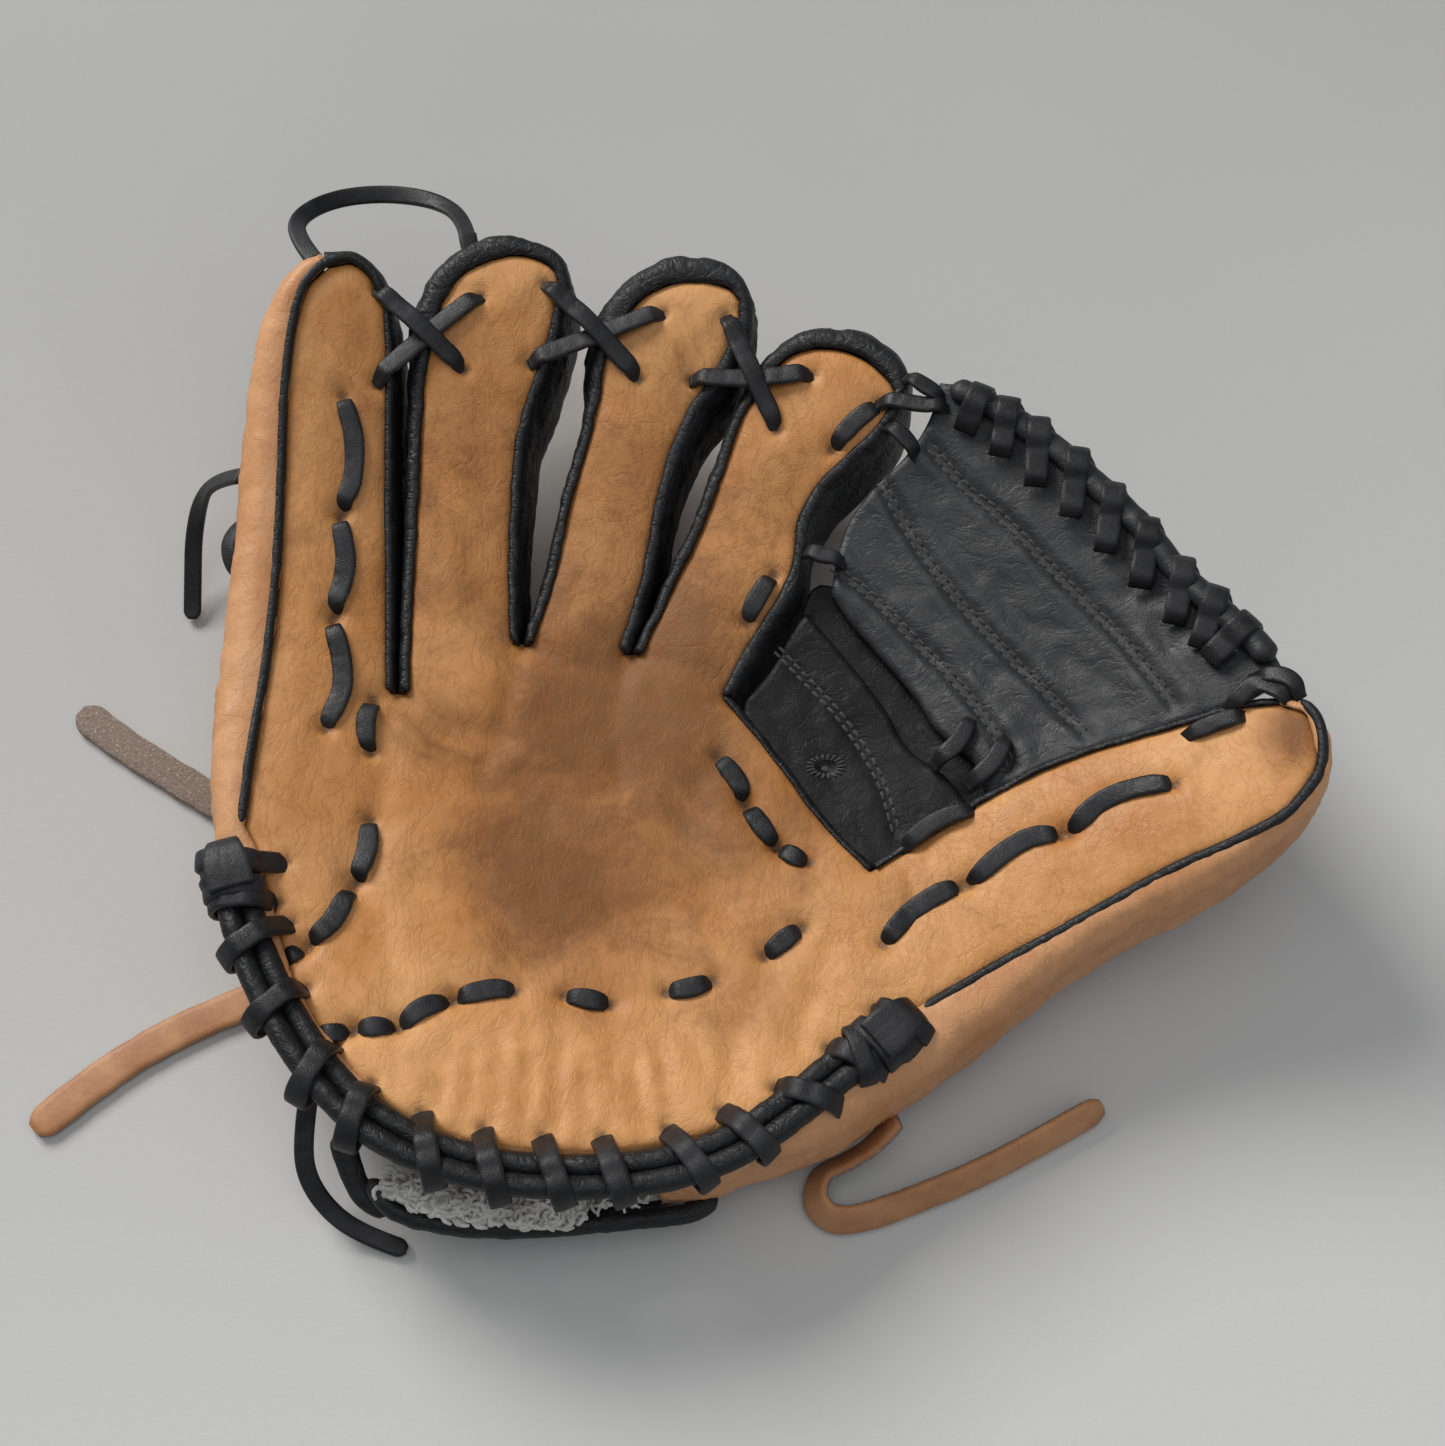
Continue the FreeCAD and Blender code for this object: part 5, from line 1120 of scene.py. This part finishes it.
for spread, seed in ((2.6, 1.0), (-2.4, 4.0), (0.2, 7.0)):
    capped(whips["pinky"], 2, -1, 9.0, spread, seed)
    capped(whips["thumb"], last - 2, 1, 9.0, spread, seed + 9)
for part, (body, node) in {"pinky": (PINKY_BLEND, "pinky_whip_lace"),
        "palm": ("palm", "heel_whip_lace"), "thumb": (THUMB_BLEND, "thumb_whip_lace")}.items():
    whips[part].make(f"whip_{part}", LACE, body, [node], "black_lace")

# ---------------------------------------------------------------- wrist strap, its binding and fleece
STRAP_LINE = [(-53, -76.2), (-42, -78), (-24, -79), (-6, -78), (9, -74)]
strap_mid = smooth(STRAP_LINE, 2.0)
strap_ahead = np.gradient(strap_mid, axis=0)
strap_ahead /= np.linalg.norm(strap_ahead, axis=1, keepdims=True)
strap_side = np.stack([-strap_ahead[:, 1], strap_ahead[:, 0]], 1)
STRAP_HALF = 12.0


def strap_loop(half, trim=0):
    """The outline of a band along the strap, trim points shorter at each end."""
    line = strap_mid[trim:len(strap_mid) - trim]
    side = strap_side[trim:len(strap_side) - trim]
    return np.vstack([line - side * half, (line + side * half)[::-1]])


plate("strap_leather", divided(np.vstack([strap_loop(STRAP_HALF), strap_loop(STRAP_HALF)[:1]]), 70)[:-1],
      lambda p, d: bowl(p, BACK_INSIDE), lambda p, d: np.maximum(bowl(p, 25.8), 0.4), 2.5, BLACK, "palm",
      ["wrist_strap"], "black_leather")
fleece_loop = divided(np.vstack([strap_loop(10.5, 1), strap_loop(10.5, 1)[:1]]), 70)[:-1]
plate("fleece_pile", fleece_loop, lambda p, d: bowl(p, 18.9) - 2.2 * np.exp(-d / 2.0), lambda p,
    d: bowl(p, 23.2), 1.6, FLEECE, "palm", ["strap_fleece"], "fleece", rumple=2.2)
tufts = Piece()
dice = random.Random(11)


def tuft(flat, depth, curls, heights, spread, sag, rise, thick, tip):
    """One curled lock of fleece, thinner towards its tip."""
    base = float(bowl(flat, depth))
    lean, curl, tall = dice.uniform(0, 2 * math.pi), dice.uniform(*curls), dice.uniform(*heights)
    line = []
    for t in np.arange(6) / 5:
        swing = lean + curl * 2.4 * t
        line.append((flat[0] + math.cos(swing) * spread * t, flat[1] + math.sin(swing) * 2.2 * t
                     - sag * t * t, base + tall * math.sin(t * 2.2) * rise))
    tufts.add(*tube(smooth(line, count=9), thick * np.linspace(1, tip, 9), 6))


for _ in range(420):
    k = dice.randrange(2, len(strap_mid) - 2)
    middle = strap_mid[k] + strap_side[k] * dice.uniform(-11.5, 9.5) + strap_ahead[k] * dice.uniform(-1, 1)
    tuft(middle, 19.5, (0.6, 1.6), (3.0, 6.0), 2.2, 1.2, 0.8, 0.75, 0.35)
fringe = smooth([(-61, -86.5), (-50, -90.5), (-38, -92), (-26, -92.5), (-18, -92)], 1.0)
for _ in range(330):
    spot = fringe[dice.randrange(len(fringe))] + np.array([dice.uniform(-1, 1), dice.uniform(-2.2, 2.6)])
    tuft(spot, 20.0, (0.8, 2.0), (3.0, 7.5), 2.6, 0.0, 0.9, 0.95, 0.4)
tufts.make("fleece_tufts", FLEECE, "palm", (), "fleece")

binding_line = [(x, y - STRAP_HALF - 2.4) for x, y in STRAP_LINE]
binding_line = [(-66, -84), (-60, -91), (-46, -94.5), (-30, -94.8)] + binding_line[3:4] + [(8, -90.5),
    (14, -87)]
flat = smooth(binding_line, 1.0)
path = np.column_stack([flat, bowl(flat, 23.2) + 1.0 + 0.6 * grown(flat, 0.1)])
points, faces = tube(path, rounded(len(path), 2.3) + 0.25 * grown(path, 0.25, 2.0), 14)
edge = Piece().add(points, faces, rim=0.4)
path = smooth([(-73, -73.5, 23), (-71, -80, 20.5), (-68.5, -85.5, 17.5), (-65, -88.5, 15.5),
    (-61, -90, 14.5)], 1.0)
points, faces = tube(path, rounded(len(path), 3.0) + 0.3 * grown(path, 0.2, 8.0), 14, flat=0.5)
edge.add(points, faces, rim=0.4).make("strap_edge", ROLL_BLACK, "palm", ["strap_binding"], "black_leather")
for side, start, end in (("pinky", (-58, -50.6), (-56, -64.7)), ("thumb", (15.5, -51.2), (13, -61))):
    flat = smooth([start, end], 1.5)
    path = np.column_stack([flat, bowl(flat, 24.7)])
    points, faces, rim, _ = ribbon(path, (0, 0, 1), TAB_WIDTH, THONG_SKIN)
    Piece().add(points, faces, rim=rim).make(f"tab_{side}", BLACK, "palm", [f"strap_anchor_{side}"],
        "black_leather")

# ---------------------------------------------------------------- web
WEB_TOP_LINE = [(70, 111), (81, 108), (91, 100), (101, 92), (110, 81), (119, 70), (127, 57), (136, 45),
    (143, 36), (146.5, 27)]
UPPER_WEB = joined(WEB_TOP_LINE, [(146.5, 25), (136, 20.5), (123, 18), (105, 14.5), (93, 11), (84, 7.5),
    (79, 5.5)], [(79, 5.5), (76, 15), (67.5, 24), (62, 34), (53, 46), (45.5, 56), (42.5, 61)],
    [(42.5, 61), (43.5, 68), (46.5, 78), (52.5, 86), (59, 91.5), (64.5, 97.5), (68, 104), (70, 111)])
LOWER_WEB = joined([(20.5, 35), (27, 43), (32, 52), (36, 57.5)],
    [(36, 57.5), (47, 43.5), (55.5, 31), (60.5, 21), (69.5, 12.5), (75, 4)],
    [(75, 4), (68, -1), (58, -7), (50.5, -11)], [(50.5, -11), (39, 2.5), (28.5, 17.5), (20, 30),
    (20.5, 35)])
SEAMS = [[(67.1, 96), (75.6, 85.2), (83.9, 76.7), (93.1, 65.5), (102.2, 54.1), (110.9, 42.6),
    (119.2, 28.6), (122.5, 22.5)], [(54.6, 89), (64.3, 71), (73.7, 56.3), (83, 44.1), (92, 32.8),
    (100.7, 21.4), (102.5, 18.5)], [(42.1, 68.2), (51.9, 59.9), (61.5, 48.9), (70.9, 37.7), (79.9, 24),
    (85, 12.5)]]
LOWER_SEAM = [(28.2, 49), (46.4, 26.8), (53.4, 13.4), (57.5, -2.0)]
seam_lines = [smooth(s, 1.5) for s in SEAMS]
lower_seam = smooth(LOWER_SEAM, 1.5)
EYELET = (40.5, 17.0)
WEB_CREASES = [[(90, 70), (98, 58), (112, 52)], [(64, 46), (78, 38), (88, 38)],
    [(98, 40), (108, 30), (112, 20)], [(60, 80), (72, 72), (78, 62)], [(120, 45), (124, 34), (130, 27)],
    [(104, 66), (112, 60), (118, 50)], [(72, 24), (80, 20), (92, 20)], [(50, 66), (58, 60), (62, 52)],
    [(84, 60), (88, 50), (98, 46)], [(112, 66), (116, 54), (122, 50)], [(68, 86), (80, 78), (86, 68)],
    [(92, 26), (98, 24), (108, 24)]]
web_creases = [smooth(c, 2.0) for c in WEB_CREASES]


def web_top(plan, fine=True):
    """The upper web: sunk seams with a swell beside each, creases, and a soft unevenness."""
    height = bowl(plan) - 1.2
    for line in seam_lines:
        away = gap(plan, line)
        height -= 1.1 * np.exp(-((away / 1.3) ** 2)) - 0.5 * np.exp(-(((away - 3.6) / 2.0) ** 2))
    for number, line in enumerate(web_creases):
        height -= (0.28 + 0.14 * (number % 3)) * np.exp(-((gap(plan, line) / 1.9) ** 2))
    if fine:
        height += 0.9 * grown(plan, 0.035, 2.0) + 0.28 * grown(plan, 0.16, 7.0)
    return height


def lower_top(plan):
    """The lower web, lying deeper, dished round its eyelet."""
    height = bowl(plan) - 3.6 - 0.7 * np.exp(-((gap(plan, lower_seam) / 1.5) ** 2))
    height -= 1.6 * near(plan, EYELET, 2.4) - 0.5 * near(plan, EYELET, 5.0)
    return height + 0.8 * grown(plan, 0.05, 12.0) + 0.25 * grown(plan, 0.2, 3.0)


def edged(height, lip=1.0):
    """The same surface with its edge rounded down."""
    return lambda p, d: height(p) - 0.9 * np.clip(1 - d / lip, 0, 1) ** 2


plate("web_upper", UPPER_WEB, edged(web_top), lambda p, d: web_top(p, fine=False) - 3.0, 1.6, WEB_BLACK,
      THUMB_BLEND, ["web_upper_panel"], "web_leather", rumple=0.0)
# The lower web takes the painted-shade copy of the black leather.
plate("web_lower", LOWER_WEB, edged(lower_top), lambda p, d: bowl(p) - 6.0, 1.6, SHADED_WEB_BLACK, THUMB_BLEND,
      ["web_lower_panel"], "web_leather", rumple=0.0)

# Painted shade: a dark sheet laid under the gap between the web panels, where there is only shade.
plate("painted_shade_web_backing", joined([(33, 52), (39, 66), (50, 62)], [(50, 62), (60, 46), (72, 30), (86, 14)],
    [(86, 14), (82, 4), (72, 0)], [(72, 0), (58, 18), (46, 36), (33, 52)], step=2.5), lambda p,
    d: bowl(p, 7.5) + 0.8 * grown(p, 0.06, 4.0), lambda p, d: bowl(p, 9.5), 2.5, SHADED_WEB_BLACK,
    THUMB_BLEND, (), "web_leather", rumple=0.0)

thread = Piece()


def stitched(line, height, shift, pitch=2.9, long=2.0, thick=0.34):
    """A row of sewn stitches beside a seam, each one dipping into its holes."""
    ahead = np.gradient(line, axis=0)
    ahead /= np.linalg.norm(ahead, axis=1, keepdims=True)
    side = np.stack([-ahead[:, 1], ahead[:, 0]], 1)
    row = line + side * shift
    far = measured(row)
    for start in np.arange(1.0, far[-1] - long, pitch):
        at = np.linspace(start, start + long, 6)
        flat = np.stack([np.interp(at, far, row[:, i]) for i in range(2)], 1)
        lift = 0.3 * np.sin(np.linspace(0, math.pi, 6)) - 0.05
        points, faces = tube(np.column_stack([flat, height(flat) + lift]), thick, 6)
        thread.add(points, faces)


for line in seam_lines:
    stitched(line, web_top, 0.9)
    stitched(line, web_top, -0.9)
stitched(lower_seam, lower_top, 0.8)
stitched(lower_seam, lower_top, -0.8)
ring = np.linspace(0, 2 * math.pi, 19)[:-1]
for angle in ring:
    out = np.array([math.cos(angle) * 2.9, math.sin(angle) * 1.9])
    flat = np.array([np.array(EYELET) + out, np.array(EYELET) + out * 1.35, np.array(EYELET) + out * 1.65])
    points, faces = tube(np.column_stack([flat, lower_top(flat) + 0.15]), 0.32, 6)
    thread.add(points, faces)
thread.make("web_thread", THREAD, THUMB_BLEND, (), "black_lace")
hole = Piece()
points, faces = tube(np.column_stack([
    np.array([[-2.0, 0], [-1, 0], [0, 0], [1, 0], [2.0, 0]]) + np.array(EYELET),
    np.full(5, float(lower_top(np.array([EYELET]))[0]) - 0.1)]),
    np.array([0.5, 1.0, 1.15, 1.0, 0.5]), 10, flat=0.35)
hole.add(points, faces).make("web_eyelet", THREAD, THUMB_BLEND, (), "web_leather")

ROLL_PLAN = [(72.5, 109), (80, 104.5), (90, 97), (99, 89), (108, 79), (117, 68), (125, 55), (134, 43),
             (141, 34), (143.5, 29)]
flat = smooth(ROLL_PLAN, 1.0)
path = np.column_stack([flat, bowl(flat) - 0.2 + 0.5 * grown(flat, 0.12)])
points, faces = tube(path, rounded(len(path), 3.3) + 0.25 * grown(path, 0.25, 5.0), 16, flat=0.75)
Piece().add(points, faces, rim=0.3).make("web_roll", WEB_BLACK, THUMB_BLEND, ["web_top_roll"],
    "web_leather")
WEB_TURNS = [((80.7, 108.1), (75.7, 97.4)), ((86.7, 104.3), (84.1, 90.2)), ((93.6, 98.4), (92.3, 81.5)),
             ((102.9, 89.5), (100.4, 72.8)), ((110.9, 79.5), (108.2, 62.8)), ((118.6, 69.5), (115.9, 52.8)),
             ((126.1, 58.2), (123.2, 42.7)), ((133.4, 49.5), (128.4, 35.5)), ((140.5, 40.6), (130.2, 31.5))]
web_whip = Piece()
for number, (outer, inner) in enumerate(WEB_TURNS):
    outer, inner = np.array(outer), np.array(inner)
    away = (outer - inner) / np.linalg.norm(outer - inner)
    reach = float(np.linalg.norm(outer - inner))
    crest = inner + away * (reach - 4.5)
    base = float(bowl(crest))
    skew = np.array([-away[1], away[0]]) * 2.6
    stops = [(inner, -2.6), (inner + away * 1.2, -0.1), (inner + away * (reach - 9.0), 1.2),
        (crest - away * 1.5, 3.5), (crest + away * 2.0, 3.3), (outer, 0.9), (outer + away * 0.4, -1.6),
        (crest + away * 1.5 - skew, -3.8), (inner + away * (reach - 9.0) - skew, -4.4)]
    path = smooth([(*spot, base + height) for spot, height in stops], 0.7)
    slope = np.gradient(path, axis=0)
    level = np.cross(slope, (-away[1], away[0], 0.0))
    level *= np.sign(level[5, 2])
    points, faces, rim, side = ribbon(path, level, 5.9 + 0.4 * grown(path, 0.2, number * 3.0), 1.5)
    web_whip.add(points, faces, rim=rim, side=side)
web_whip.make("web_whip", LACE, THUMB_BLEND, ["web_whip_lace"], "black_lace")


def over_all(flat):
    """Height of the laces that tie the web."""
    return bowl(flat) + 0.5


for name, lines, node in (("lace_index_web", [[(54, 107), (60, 106), (66, 104.5), (72, 104.5)],
        [(56, 102), (60, 98), (64.5, 92.5)], [(35, 72), (40, 69.5), (46, 68)],
        [(61, 113), (66, 109), (71, 106)]], "index_web_lace"),
        ("lace_web_thumb", [[(123, 13.5), (130, 15.5), (138, 17)],
        [(133, 18.5), (140, 23.5), (147.5, 18)], [(139, 26), (146, 24), (149.5, 19)]],
        "web_thumb_lace"), ("lace_web_base", [[(58, -7), (66, -1), (76, 2)],
        [(74, 8), (80, 13), (84, 20)], [(66, 14), (72, 19), (76, 26)]], "web_base_lace")):
    piece = Piece()
    for number, line in enumerate(lines):
        sewn(piece, line, over_all, rise=1.0, lead=3.5, width=4.4, seed=number * 2.0)
    piece.make(name, LACE, THUMB_BLEND, [node], "black_lace")
